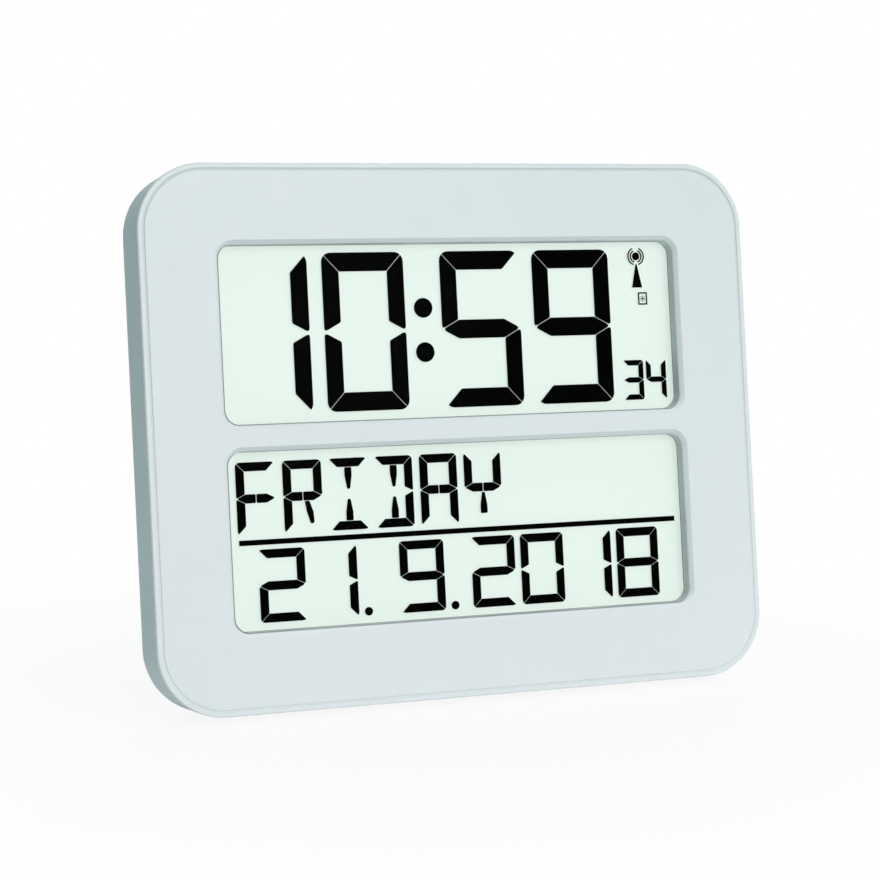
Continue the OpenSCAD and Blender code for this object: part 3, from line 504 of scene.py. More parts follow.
def clipped(outline, window):
    """Part of a convex outline inside a convex counterclockwise window."""
    for start, end in zip(window, window[1:] + window[:1]):
        edge = Vector(end) - Vector(start)

        def side(point):
            offset = Vector(point) - Vector(start)
            return edge.x * offset.y - edge.y * offset.x

        kept = []
        for here, there in zip(outline, outline[1:] + outline[:1]):
            a, b = side(here), side(there)
            if a >= 0:
                kept.append(here)
            if a * b < 0:
                kept.append(tuple(Vector(here).lerp(Vector(there), a / (a - b))))
        outline = kept
    return outline


def softened(outline, radius):
    """A convex outline whose sharp corners are cut to short curves."""
    points = [Vector(point) for point in outline]
    soft = []
    for place, here in enumerate(points):
        back = points[place - 1] - here
        ahead = points[(place + 1) % len(points)] - here
        if min(back.length, ahead.length) < SHORT:
            continue
        corner = back.angle(ahead)
        if corner > BLUNT:
            soft.append(tuple(here))
            continue
        cut = min(radius / math.tan(corner / 2), CUT_SHARE * back.length,
                  CUT_SHARE * ahead.length)
        first = here + back.normalized() * cut
        last = here + ahead.normalized() * cut
        soft += [tuple(first), tuple((first + 2 * here + last) / 4), tuple(last)]
    return soft


def counterclockwise(outline):
    sides = zip(outline, outline[1:] + outline[:1])
    area = sum(x * far_z - far_x * z for (x, z), (far_x, far_z) in sides)
    return outline if area > 0 else outline[::-1]


def arc(x, z, radius, first, last, steps):
    """Points of an arc from one angle to another, in degrees."""
    turns = [math.radians(first + (last - first) * k / steps) for k in range(steps + 1)]
    return [(x + radius * math.cos(turn), z + radius * math.sin(turn)) for turn in turns]


def disc(x, z, radius):
    return arc(x, z, radius, 0, 360, DISC_SIDES)[:-1]


def box(x, z, far_x, far_z):
    return [(x, z), (far_x, z), (far_x, far_z), (x, far_z)]


def rounded_box(width, height, radius):
    """Counterclockwise outline of a rectangle with round corners, from the origin."""
    corners = [(width - radius, radius, -90), (width - radius, height - radius, 0),
               (radius, height - radius, 90), (radius, radius, 180)]
    return [point for x, z, turn in corners
            for point in arc(x, z, radius, turn, turn + 90, CORNER_STEPS)]


def add_plate(mesh, outline, near, far):
    """Adds a flat piece with a front-view outline, from one depth to another."""
    front = [mesh.verts.new((x, near, z)) for x, z in outline]
    rear = [mesh.verts.new((x, far, z)) for x, z in outline]
    mesh.faces.new(front)
    mesh.faces.new(rear[::-1])
    for i in range(len(outline)):
        j = (i + 1) % len(outline)
        mesh.faces.new((front[j], front[i], rear[i], rear[j]))


def linked(name, data):
    """A new object in the scene."""
    made = bpy.data.objects.new(name, data)
    bpy.context.scene.collection.objects.link(made)
    return made


def drawn(name, mesh, material):
    """Makes an object of a finished mesh."""
    data = bpy.data.meshes.new(name)
    mesh.to_mesh(data)
    mesh.free()
    data.materials.append(material)
    return linked(name, data)


def placed(made, body):
    """Takes an object from case coordinates to its place, riding on a body."""
    made.data.transform(CASE)
    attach(made, body)
    return made


def piece(name, mesh, finish, body):
    """Makes an object of a mesh drawn in case coordinates, riding on a body."""
    bmesh.ops.recalc_face_normals(mesh, faces=mesh.faces)
    return placed(drawn(name, mesh, FINISHES[finish]), body)


def dress(material, *nodes):
    """Gives CAD nodes a material."""
    for name in nodes:
        data = frame["nodes"][name].data
        data.materials.clear()
        data.materials.append(material)


# ---- Sizes and colours ------------------------------------------------------


def tint(name, description, *levels):
    return bpy.props.FloatVectorProperty(
        name=name, description=description, subtype="COLOR", size=4, min=0.0, max=1.0,
        default=linear(*levels))


def length(name, description, millimetres):
    return bpy.props.FloatProperty(name=name, description=description, unit="LENGTH",
                                   default=millimetres * MM, min=0.0)


def angle(name, description, degrees):
    return bpy.props.FloatProperty(name=name, description=description, subtype="ANGLE",
                                   default=math.radians(degrees))


def share(name, description, value):
    return bpy.props.FloatProperty(name=name, description=description, default=value,
                                   min=0.0)


def text(name, description, value):
    return bpy.props.StringProperty(name=name, description=description, default=value)


class ClockColours(bpy.types.PropertyGroup):
    """Colours of the finishes."""

    frame: tint("Front frame", "Pale plastic of the front frame", 216, 228, 229)
    # painted light: the front frame is drawn paler towards its lower edge, standing in for
    # light from below
    frame_painted_low_light: tint("Front frame, lower edge", "Its paler lower edge", 231, 240, 242)
    cover: tint("Rear cover", "Plastic of the cover, leg and door", 206, 223, 225)
    keys: tint("Keys", "Plastic of the key caps", 150, 163, 164)
    ground: tint("Display ground", "Reflecting film behind the figures", 230, 246, 237)
    figures: tint("Figures", "Darkened liquid crystal", 3, 4, 4)
    board: tint("Boards", "Solder mask of the boards", 38, 102, 66)
    wrap: tint("Cell wrap", "Printed wrap of the cells", 54, 92, 138)


class FrontSizes(bpy.types.PropertyGroup):
    """Sizes of the front frame that its finish follows."""

    corner_r: length("Corner", "Corner radius of the outline", 23)
    groove_inset: length("Groove inset", "Outline to the groove", 1.65)
    groove_w: length("Groove", "Width of the groove", 0.9)
    window_r: length("Window corner", "Corner radius of a window", 5)
    window_round: length("Window edge", "Width of a window's rounded edge", 1.5)
    shade_w: length("Edge shade", "Width of the shaded inner edge", 0.22)
    # The gasket is a thin grey ring of painted shade, for the gap between a window's walls
    # and its glass
    shade_ring_w: length("Gasket", "Width of the gasket round the glass", 0.14)
    shade_ring_t: length("Gasket thickness", "Thickness of the gasket", 0.12)


class TimeSizes(bpy.types.PropertyGroup):
    """Sizes of the time and the seconds."""

    shown: text("Time", "Hours and minutes shown", "1059")
    shown_second: text("Seconds", "Seconds shown", "34")
    left: length("Left margin", "Window edge to the hours", 2.88)
    right: length("Right margin", "Seconds to the window edge", 2.4)
    low: length("Lower margin", "Window edge to the figures", 3.25)
    top: length("Upper margin", "Figures to the window edge", 2.58)
    gap: length("Figure gap", "Between two figures", 5.25)
    upright: length("Upright stroke", "Width of an upright segment", 6.15)
    level: length("Level stroke", "Width of a level segment", 6.55)
    mitre: length("Segment gap", "Clear distance between segments", 0.16)
    colon_space: length("Colon space", "Hours to minutes", 13.5)
    colon_r: length("Colon dot", "Radius of a dot of the colon", 3.46)
    colon_rise: length("Colon rise", "Middle height to a dot's centre", 7.72)
    second_space: length("Second space", "Minutes to seconds", 4.1)
    second_gap: length("Second gap", "Between the two seconds", 1.1)
    second_low: length("Second margin", "Window edge to the seconds", 3.57)
    second_w: length("Second width", "Width of one figure", 7.95)
    second_h: length("Second height", "Height of the seconds", 14.3)
    second_stroke: length("Second stroke", "Width of a segment", 1.95)
    second_mitre: length("Second segment gap", "Between segments", 0.1)


class DateSizes(bpy.types.PropertyGroup):
    """Sizes of the date and of the line above it."""

    day: text("Day", "Day shown", "21")
    month: text("Month", "Month shown", "9")
    year: text("Year", "Year shown", "2018")
    left: length("Left margin", "Window edge to the day", 10.52)
    right: length("Right margin", "Year to the window edge", 9.32)
    low: length("Lower margin", "Window edge to the figures", 2.6)
    top: length("Upper margin", "Window middle down to the figures", 2.88)
    gap: length("Figure gap", "Between two figures", 2.2)
    stroke: length("Stroke", "Width of a segment", 3.05)
    mitre: length("Segment gap", "Clear distance between segments", 0.11)
    month_space: length("Month space", "Day to month", 15.54)
    year_space: length("Year space", "Month to year", 10.32)
    dot_r: length("Dot", "Radius of a dot", 1.48)
    dot_offset: length("Dot offset", "Figure to its dot's centre", 3.5)
    line_t: length("Line", "Thickness of the dividing line", 1.83)
    line_drop: length("Line drop", "Window middle down to the line", 0.42)
    line_left: length("Line left", "Window edge to the line", 4.1)
    line_right: length("Line right", "Line to the window edge", 2.07)


class WeekdaySizes(bpy.types.PropertyGroup):
    """Sizes of the weekday's letters."""

    word: text("Weekday", "Weekday shown in capitals", "FRIDAY")
    width: length("Letter width", "Width of one letter", 13.95)
    height: length("Letter height", "Height of the letters", 24.65)
    stroke: length("Stroke", "Width of a segment", 3.05)
    pitch: length("Pitch", "Distance from letter to letter", 16.6)
    gap: length("Segment gap", "Clear distance between segments", 0.13)
    left: length("Left margin", "Window edge to the first letter", 3.85)
    top: length("Top margin", "Window edge to the letters", 3.5)


class SignSizes(bpy.types.PropertyGroup):
    """Sizes of the small signs beside the time."""

    right: length("Right margin", "Window edge to the mast", 12.2)
    top: length("Top margin", "Window edge to the mast's dot", 5.25)
    dot: length("Dot", "Radius of the mast's dot", 1.45)
    first_ring: length("First ring", "Middle radius of the inner arcs", 2.12)
    ring_step: length("Ring step", "Distance between the arcs", 0.95)
    line: length("Line", "Width of a fine line", 0.5)
    mast_tip: length("Mast tip", "The dot's centre down to the mast", 2.85)
    mast: length("Mast", "Height of the mast", 8.4)
    mast_foot: length("Mast foot", "Width of the mast's foot", 4)
    box_w: length("Box width", "Width of the sun sign", 3.6)
    box_h: length("Box height", "Height of the sun sign", 4.5)
    box_right: length("Box right", "The mast to the sun sign", 1.95)
    box_drop: length("Box drop", "The mast's foot down to the sun sign", 4)
    sun: length("Sun", "Radius of the sun", 0.42)
    ray_reach: length("Ray reach", "Middle radius of the sun's rays", 0.86)
    ray: length("Ray", "Length of a ray", 0.38)


class MarkSizes(bpy.types.PropertyGroup):
    """Sizes of the marks on the keys and on the battery door."""

    reach: length("Reach", "Middle of a key to the end of a bar", 2.3)
    line: length("Line", "Half the width of a bar", 0.4)
    dot: length("Dot", "Radius of the dot", 1.1)
    square: length("Square", "Half the width of a square", 0.8)
    apart: length("Apart", "Middle of a key to a square's middle", 1.3)
    rise: length("Rise", "How far the marks stand out of a key", 0.25)
    shaft: length("Arrow shaft", "Half the width of the arrow's shaft", 0.6)
    shaft_h: length("Arrow height", "Door's middle up to the shaft's end", 4)
    barb: length("Arrow barb", "Half the width of the arrow's head", 2.4)
    tip: length("Arrow tip", "Door's middle down to the tip", 3.2)
    arrow_rise: length("Arrow rise", "How far the arrow stands out of the cover", 0.6)
    sink: length("Sink", "How deep the marks reach into their caps", 0.15)


class InsideSizes(bpy.types.PropertyGroup):
    """Sizes of the fine pieces inside the case."""

    wire: length("Wire", "Diameter of the aerial's wire", 0.3)
    lay: length("Lay", "Distance from turn to turn", 0.34)
    margin: length("Margin", "Bare sleeve at each end of the coil", 0.8)
    fit: length("Fit", "Play between rod, sleeve and coil", 0.05)
    pin_pitch: length("Pin pitch", "Distance from pin to pin", 2.54)
    pin_r: length("Pin", "Radius of a header pin", 0.32)
    pin_out: length("Pin end", "How far a pin stands out of the board", 1.2)
    part_step: length("Part step", "Distance between small parts", 5)
    part_w: length("Part width", "Width of a small part", 2)
    part_h: length("Part height", "Height of a small part", 0.9)
    part_x: length("Part start", "Chip's middle to the first part", 15)
    blob_r: length("Chip", "Radius of a chip's resin", 7)


class StageSetup(bpy.types.PropertyGroup):
    """Camera, sky and lamps."""

    camera: bpy.props.FloatVectorProperty(
        name="Camera", description="Camera from the middle of the front face",
        subtype="TRANSLATION", unit="LENGTH", default=(-0.311528, -0.760985, 0.086129))
    yaw: angle("Yaw", "Turn of the camera to the right", 21.6919)
    pitch: angle("Pitch", "Dip of the camera", 6.24294)
    focal: bpy.props.FloatProperty(
        name="Focal length", description="Lens for a square picture", default=97.607,
        min=1.0)
    sky: bpy.props.FloatVectorProperty(
        name="Sky", description="Even light from all round", subtype="COLOR",
        default=(0.165, 0.255, 0.255), min=0.0, max=1.0)
    front_lamp: share("Front lamp", "Share of the light from before the clock", 0.505)
    upper_lamp: share("Upper lamp", "Share of the light from above the clock", 0.18)
    rear_lamp: share("Rear lamp", "Share of the light from behind the clock", 0.5)


# ---- Display ----------------------------------------------------------------

# Segments lit for each capital: a to f round the outline, g1 and g2 the halves of
# the middle bar, h j k m the slanting ones, i and l the upright ones in the middle
CAPITALS = {
    "A": "a b c e f g1 g2", "D": "a b c d i l", "E": "a d e f g1 g2", "F": "a e f g1 g2",
    "H": "b c e f g1 g2", "I": "a d i l", "M": "b c e f h j", "N": "b c e f h k",
    "O": "a b c d e f", "R": "a b e f g1 g2 k", "S": "a c d f g1 g2", "T": "a i l",
    "U": "b c d e f", "W": "b c e f k m", "Y": "b f g1 g2 l",
}

# Segments lit for each numeral: a the top one, then clockwise, g the middle bar
NUMERALS = ("abcdef", "bc", "abdeg", "abcdg", "bcfg", "acdfg", "acdefg", "abc", "abcdefg",
            "abcdfg")


def window_of(sizes, display):
    """Edges of a display's window, which lies inside its reflector by the rounded edge."""
    low, high = case_box(display + "_reflector")
    margin = sizes.window_round
    return low.x + margin, low.z + margin, high.x - margin, high.z - margin


def layers(*kinds):
    """CAD nodes of both displays."""
    return [display + "_" + kind for display in ("time", "date") for kind in kinds]


class Cell:
    """The segments of one figure, with its lower left corner at the origin."""

    # Radii of the figure's corners and of the tips, and of the upright ones in the
    # middle the half width, the half width at the point, and the point's height over
    # the middle, all in strokes
    CORNER, TIP, ROD, POINT, STOP = 0.5, 0.13, 0.42, 0.17, 0.56
    # A slanting one, from the foot of the middle bar, in widths and heights
    SLANT = ((0.04, 0.0), (0.16, 0.0), (0.253, -0.15), (0.27, -0.29), (0.235, -0.315),
             (0.175, -0.315), (0.085, -0.15))

    def __init__(self, width, height, level, upright, gap):
        self.width = width
        self.border = rounded_box(width, height, self.CORNER * level)
        self.tip = self.TIP * level
        # Half the gap, along an edge that a tip meets at a slope of 1 in 1 and 1 in 2
        mitre, fall = gap / 2 * math.hypot(1, 1), gap / 2 * math.hypot(1, 0.5)
        half, centre = width / 2, height / 2
        right, top = width - upright, height - level
        bar_low, bar_top = centre - level / 2, centre + level / 2
        end, shoulder = 2 * fall, upright + 2 * fall
        rod, point = self.ROD * level, self.POINT * level
        shapes = {
            "a": [(mitre, height), (upright + mitre, top), (right - mitre, top),
                  (width - mitre, height)],
            "b": [(width, height - mitre), (right, top - mitre), (right, bar_top + fall),
                  (width, centre + fall)],
            "g": [(end, centre), (shoulder, bar_low), (width - shoulder, bar_low),
                  (width - end, centre), (width - shoulder, bar_top), (shoulder, bar_top)],
            "g1": [(end, centre), (shoulder, bar_low), (half - gap, bar_low),
                   (half - gap, bar_top), (shoulder, bar_top)],
            "i": [(half - rod, top - gap), (half - rod, top - level),
                  (half - point, centre + self.STOP * level),
                  (half + point, centre + self.STOP * level),
                  (half + rod, top - level), (half + rod, top - gap)],
            "k": [(half + x * width, bar_low - gap + z * height) for x, z in self.SLANT],
        }
        for mirrored, shown in {"f": "b", "g2": "g1", "m": "k"}.items():
            shapes[mirrored] = [(width - x, z) for x, z in shapes[shown]]
        for lower, upper in {"c": "b", "d": "a", "e": "f", "l": "i"}.items():
            shapes[lower] = [(x, height - z) for x, z in shapes[upper]]
        for upper, lower in {"j": "k", "h": "m"}.items():
            shapes[upper] = [(x, height - z) for x, z in shapes[lower]]
        self.shapes = {name: self.finished(shape) for name, shape in shapes.items()}

    def finished(self, shape):
        """A segment cut to the figure's round corners, with blunt tips."""
        return softened(clipped(counterclockwise(shape), self.border), self.tip)


class FigureLayer:
    """Darkened crystal between the glasses, as thin plates."""

    def __init__(self):
        low, high = case_box("time_figures")
        self.depths = low.y + CLEAR, high.y - CLEAR
        self.mesh = bmesh.new()

    def plate(self, outline):
        add_plate(self.mesh, outline, *self.depths)

    def figure(self, cell, lit, x, z):
        for name in lit:
            self.plate([(x + px, z + pz) for px, pz in cell.shapes[name]])

    def row(self, cell, numerals, x, z, gap):
        """Adds figures from x to the right, and gives where the last one ends."""
        for place, numeral in enumerate(numerals):
            self.figure(cell, NUMERALS[int(numeral)], x + place * (cell.width + gap), z)
        return x + len(numerals) * (cell.width + gap) - gap

    def dot(self, x, z, radius):
        self.plate(disc(x, z, radius))

    def ring(self, x, z, radius, line, first, last):
        """Adds an open arc."""
        outer = arc(x, z, radius + line / 2, first, last, RING_STEPS)
        inner = arc(x, z, radius - line / 2, last, first, RING_STEPS)
        self.plate(outer + inner)

    def made(self, name):
        return piece(name, self.mesh, "display_figures", "case")


class CLOCK_OT_display(bpy.types.Operator):
    """Finish the glasses and what lies behind them, and lay a grey ring of painted shade
    round each glass
    """

    bl_idname = "clock.display"
    bl_label = "Display"

    def execute(self, context):
        colours = context.scene.clock_colours
        dress(display_glass(), *layers("glass_front", "glass_back"))
        dress(display_figures(colours.figures), *layers("figures"))
        dress(display_ground(colours.ground), *layers("reflector"))
        dress(moulded("seal_resin", linear(226, 233, 226), grain=0.3 * MM, rough=0.3),
              *layers("seal"))
        dress(moulded("foam", linear(58, 61, 63), grain=0.5 * MM, rough=0.9, tone=0.2),
              *layers("pad"))
        dress(zebra_rubber(), *layers("zebra"))
        # painted shade: the ring's grey stands in for the shade in the gap between wall and
        # glass
        ring_grey = moulded("gasket_rubber", linear(146, 156, 154), grain=0.3 * MM, rough=0.7)
        for display in ("time", "date"):
            self.make_gasket(context.scene.clock_front, display, ring_grey)
        return {"FINISHED"}

    @staticmethod
    def make_gasket(sizes, display, ring_grey):
        """A thin grey ring on the glass, all round the foot of the window's walls: painted
        shade for the gap between wall and glass.
        """
        left, low, right, top = window_of(sizes, display)
        depth = case_box(display + "_glass_front")[0].y - sizes.shade_ring_t / 2 - CLEAR
        band = sizes.shade_ring_w
        growth = Growth(display + "_gasket", Width=right - left - band,
                        Height=top - low - band, Corner=sizes.window_r - band / 2,
                        Band=band, Thickness=sizes.shade_ring_t)
        path = growth.node(
            "GeometryNodeFilletCurve", {"mode": "POLY"},
            {"Curve": growth.rectangle(growth["Width"], growth["Height"]),
             "Radius": growth["Corner"], "Count": 8})
        ring = growth.swept(path, growth.rectangle(growth["Band"], growth["Thickness"]))
        middle = ((left + right) / 2, depth, (low + top) / 2)
        growth.grown(growth.moved(ring, middle, (QUARTER, 0, 0)), ring_grey, "black_plastic")


class CLOCK_OT_time(bpy.types.Operator):
    """Set the hours, minutes and seconds in the upper display"""

    bl_idname = "clock.time"
    bl_label = "Time"

    def execute(self, context):
        sizes = context.scene.clock_time
        left, low, right, top = window_of(context.scene.clock_front, "time")
        used = (sizes.left + sizes.right + (len(sizes.shown) - 2) * sizes.gap
                + sizes.colon_space + sizes.second_space + 2 * sizes.second_w
                + sizes.second_gap)
        width = (right - left - used) / len(sizes.shown)
        height = top - low - sizes.top - sizes.low
        large = Cell(width, height, sizes.level, sizes.upright, sizes.mitre)
        small = Cell(sizes.second_w, sizes.second_h, sizes.second_stroke,
                     sizes.second_stroke, sizes.second_mitre)
        z = low + sizes.low
        layer = FigureLayer()
        x = layer.row(large, sizes.shown[:2], left + sizes.left, z, sizes.gap)
        for rise in (-sizes.colon_rise, sizes.colon_rise):
            layer.dot(x + sizes.colon_space / 2, z + height / 2 + rise, sizes.colon_r)
        x = layer.row(large, sizes.shown[2:], x + sizes.colon_space, z, sizes.gap)
        layer.row(small, sizes.shown_second, x + sizes.second_space, low + sizes.second_low,
                  sizes.second_gap)
        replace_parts(layer.made("time_digits"), "time_figures")
        return {"FINISHED"}


class CLOCK_OT_date(bpy.types.Operator):
    """Set the day, month and year in the lower display, below their line"""

    bl_idname = "clock.date"
    bl_label = "Date"

    def execute(self, context):
        sizes = context.scene.clock_date
        left, low, right, top = window_of(context.scene.clock_front, "date")
        middle = (low + top) / 2
        figures = len(sizes.day + sizes.month + sizes.year)
        used = (sizes.left + sizes.right + (figures - 3) * sizes.gap + sizes.month_space
                + sizes.year_space)
        width = (right - left - used) / figures
        height = middle - sizes.top - low - sizes.low
        cell = Cell(width, height, sizes.stroke, sizes.stroke, sizes.mitre)
        x, z = left + sizes.left, low + sizes.low
        layer = FigureLayer()
        for numerals, space in ((sizes.day, sizes.month_space),
                                (sizes.month, sizes.year_space)):
            x = layer.row(cell, numerals, x, z, sizes.gap)
            layer.dot(x + sizes.dot_offset, z + sizes.dot_r, sizes.dot_r)
            x += space
        layer.row(cell, sizes.year, x, z, sizes.gap)
        line_z = middle - sizes.line_drop - sizes.line_t / 2
        layer.plate(box(left + sizes.line_left, line_z, right - sizes.line_right,
                        line_z + sizes.line_t))
        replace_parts(layer.made("date_digits"), "date_figures")
        return {"FINISHED"}


class CLOCK_OT_weekday(bpy.types.Operator):
    """Set the weekday in fourteen-segment capitals in the lower display"""

    bl_idname = "clock.weekday"
    bl_label = "Weekday"

    def execute(self, context):
        sizes = context.scene.clock_weekday
        left, _, _, top = window_of(context.scene.clock_front, "date")
        cell = Cell(sizes.width, sizes.height, sizes.stroke, sizes.stroke, sizes.gap)
        layer = FigureLayer()
        for place, letter in enumerate(sizes.word):
            layer.figure(cell, CAPITALS[letter].split(),
                         left + sizes.left + place * sizes.pitch,
                         top - sizes.top - sizes.height)
        layer.made("weekday_letters")
        return {"FINISHED"}


class CLOCK_OT_signs(bpy.types.Operator):
    """Draw the reception mast and the small sun sign beside the time"""

    bl_idname = "clock.signs"
    bl_label = "Signs"

    # Degrees: where the mast's arcs begin and how far they reach, half a ray's width
    ARC_STARTS, ARC, HALF_RAY = (-72, 114), 138, 9
    RAYS = 8
    SIDE_END = 1.05  # line widths from the box's top to the ends of its sides

    def execute(self, context):
        sizes = context.scene.clock_signs
        _, _, right, top = window_of(context.scene.clock_front, "time")
        x, z = right - sizes.right, top - sizes.top
        layer = FigureLayer()
        layer.dot(x, z, sizes.dot)
        for radius in (sizes.first_ring, sizes.first_ring + sizes.ring_step):
            for start in self.ARC_STARTS:
                layer.ring(x, z, radius, sizes.line, start, start + self.ARC)
        tip_z = z - sizes.mast_tip
        foot_z = tip_z - sizes.mast
        foot, tip = sizes.mast_foot / 2, sizes.line / 2
        layer.plate([(x - tip, tip_z), (x - foot, foot_z), (x + foot, foot_z),
                     (x + tip, tip_z)])
        self.add_sun_sign(layer, sizes, x + sizes.box_right, foot_z - sizes.box_drop)
        layer.made("display_signs")
        return {"FINISHED"}

    def add_sun_sign(self, layer, sizes, x, z):
        """Adds a small upright box with a sun in it."""
        half_w, half_h, line = sizes.box_w / 2, sizes.box_h / 2, sizes.line
        end = half_h - self.SIDE_END * line
        for s in (-1, 1):
            near_x, near_z = x + s * half_w, z + s * half_h
            layer.plate(box(x - half_w, near_z, x + half_w, near_z - s * line))
            layer.plate(box(near_x, z - end, near_x - s * line, z + end))
        layer.dot(x, z, sizes.sun)
        for ray in range(self.RAYS):
            turn = 360 / self.RAYS * ray
            layer.ring(x, z, sizes.ray_reach, sizes.ray, turn - self.HALF_RAY,
                       turn + self.HALF_RAY)


# ---- Case -------------------------------------------------------------------


class CLOCK_OT_housing(bpy.types.Operator):
    """Finish the front frame, the rear cover, the leg and the battery door"""

    bl_idname = "clock.housing"
    bl_label = "Housing"

    def execute(self, context):
        colours = context.scene.clock_colours
        dress(frame_plastic(context.scene.clock_front, colours), "front_frame")
        dress(moulded("cover_plastic", colours.cover, grain=0.6 * MM, rough=0.55),
              "rear_cover", "stand", "battery_door")
        return {"FINISHED"}


class CLOCK_OT_marks(bpy.types.Operator):
    """Finish the key caps and raise the marks on them and on the battery door"""

    bl_idname = "clock.marks"
    bl_label = "Marks"

    def execute(self, context):
        sizes = context.scene.clock_marks
        plastic = moulded("key_plastic", context.scene.clock_colours.keys, grain=0.4 * MM,
                          rough=0.45)
        dress(plastic, "button_mode", "button_set", "button_plus", "button_minus")
        bar, line, half, apart = sizes.reach, sizes.line, sizes.square, sizes.apart
        cross = [(-bar, -line), (-line, -line), (-line, -bar), (line, -bar), (line, -line),
                 (bar, -line), (bar, line), (line, line), (line, bar), (-line, bar),
                 (-line, line), (-bar, line)]
        marks = {"plus": [cross], "minus": [box(-bar, -line, bar, line)],
                 "set": [disc(0, 0, sizes.dot)],
                 "mode": [box(x - half, -half, x + half, half) for x in (-apart, apart)]}
        for key, outlines in marks.items():
            face = case_box("button_" + key)[1].y
            self.raise_marks("mark_" + key, "button_" + key, outlines, face - sizes.sink,
                             face + sizes.rise, "white_paint", "key_" + key)
        shaft, top, barb = sizes.shaft, sizes.shaft_h, sizes.barb
        arrow = [(-shaft, top), (-shaft, 0), (-barb, 0), (0, -sizes.tip), (barb, 0),
                 (shaft, 0), (shaft, top)]
        face = case_box("rear_cover")[1].y
        self.raise_marks("door_arrow", "battery_door", [arrow], face - sizes.sink,
                         face + sizes.arrow_rise, "key_plastic", "battery_door")
        return {"FINISHED"}

    @staticmethod
    def raise_marks(name, node, outlines, near, far, finish, body):
        """Adds flat marks to the middle of a node, from one depth to another."""
        low, high = case_box(node)
        x, z = (low.x + high.x) / 2, (low.z + high.z) / 2
        mesh = bmesh.new()
        for outline in outlines:
            add_plate(mesh, [(x + px, z + pz) for px, pz in outline], near, far)
        piece(name, mesh, finish, body)


# ---- Inside -----------------------------------------------------------------


def make_winding(sizes):
    """The aerial's coil: enamelled wire, turn beside turn, on a paper sleeve."""
    low, high = case_box("antenna_coil")
    rod_low, rod_high = case_box("antenna_rod")
    wire, whole = sizes.wire / 2, high.x - low.x
    wound = whole - 2 * sizes.margin
    radius, bore = (high.z - low.z) / 2 - wire, (rod_high.z - rod_low.z) / 2 + sizes.fit
    wall = radius - wire - sizes.fit - bore
    middle = (low + high) / 2
    coil = Growth("aerial_winding", Turns=int(wound / sizes.lay), Radius=radius,
                  Length=wound, Wire=wire)
    spiral = coil.node(
        "GeometryNodeCurveSpiral", {},
        {"Resolution": 24, "Rotations": coil["Turns"], "Start Radius": coil["Radius"],
         "End Radius": coil["Radius"], "Height": coil["Length"]})
    turns = coil.moved(coil.swept(spiral, coil.circle(coil["Wire"], resolution=5)),
                       (low.x + sizes.margin, middle.y, middle.z), (0, QUARTER, 0))
    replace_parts(coil.grown(turns, FINISHES["copper_wire"], "copper_wire"), "antenna_coil")
    tube = Growth("aerial_sleeve", Radius=bore + wall / 2, Wall=wall, Length=whole)
    sleeve = tube.moved(tube.swept(tube.circle(tube["Radius"], resolution=40),
                                   tube.rectangle(tube["Wall"], tube["Length"])),
                        middle, (0, QUARTER, 0))
    paper = moulded("sleeve_paper", linear(196, 176, 138), grain=0.3 * MM, rough=0.8,
                    tone=0.08)
    tube.grown(sleeve, paper, "copper_wire")


def make_pins(sizes):
    """The header's pins, each with a solder cone on the receiver board."""
    cone_top, cone_foot, cone_height = 1.1, 2.6, 0.6  # in pin radii and pin lengths
    low, high = case_box("receiver_header")
    back = case_box("receiver_board")[1].y
    count = int((high.x - low.x) / sizes.pin_pitch)
    growth = Growth("header_pins", Count=count, Pitch=sizes.pin_pitch, Radius=sizes.pin_r,
                    Length=sizes.pin_out)
    pin = growth.node(
        "GeometryNodeMeshCylinder", {},
        {"Vertices": 8, "Radius": growth["Radius"], "Depth": growth["Length"]}, "Mesh")
    cone = growth.node(
        "GeometryNodeMeshCone", {},
        {"Vertices": 12, "Radius Top": growth["Radius"] * cone_top,
         "Radius Bottom": growth["Radius"] * cone_foot,
         "Depth": growth["Length"] * cone_height}, "Mesh")
    raised = growth.moved(pin, growth.vector(z=growth["Length"] / 2))
    soldered = growth.moved(growth.joined(raised, cone), (0, 0, 0), (-QUARTER, 0, 0))
    start = (low.x + high.x - (count - 1) * sizes.pin_pitch) / 2
    pins = growth.moved(growth.row(soldered, growth["Count"], growth["Pitch"]),
                        (start, back, (low.z + high.z) / 2))
    growth.grown(pins, FINISHES["switch_metal"], "switch_metal")


def make_part_ends(sizes):
    """Tinned ends on the two rows of small parts on the main board."""
    over, end_share = 1.06, 0.3  # past the part's sides, and of its width
    low, high = case_box("time_reflector")
    rise = (low.z + high.z) / 2
    growth = Growth("part_ends", Count=6, Step=sizes.part_step, Width=sizes.part_w * over,
                    Height=sizes.part_h * over, End=end_share * sizes.part_w)
    size = growth.vector(growth["Width"], growth["Height"], growth["End"])
    end = growth.node("GeometryNodeMeshCube", {}, {"Size": size}, "Mesh")
    reach = growth["Width"] / 2 - growth["End"] / 2
    pair = growth.joined(growth.moved(end, growth.vector(z=reach)),
                         growth.moved(end, growth.vector(z=-reach)))
    row = growth.row(pair, growth["Count"], growth["Step"])
    x = case_box("board_parts")[0].x + sizes.blob_r + sizes.part_x
    depth = growth["Height"] / 2 + case_box("main_board")[1].y
    rows = growth.joined(growth.moved(row, growth.vector(x, depth, rise)),
                         growth.moved(row, growth.vector(x, depth, -rise)))
    growth.grown(rows, FINISHES["switch_metal"], "switch_metal")


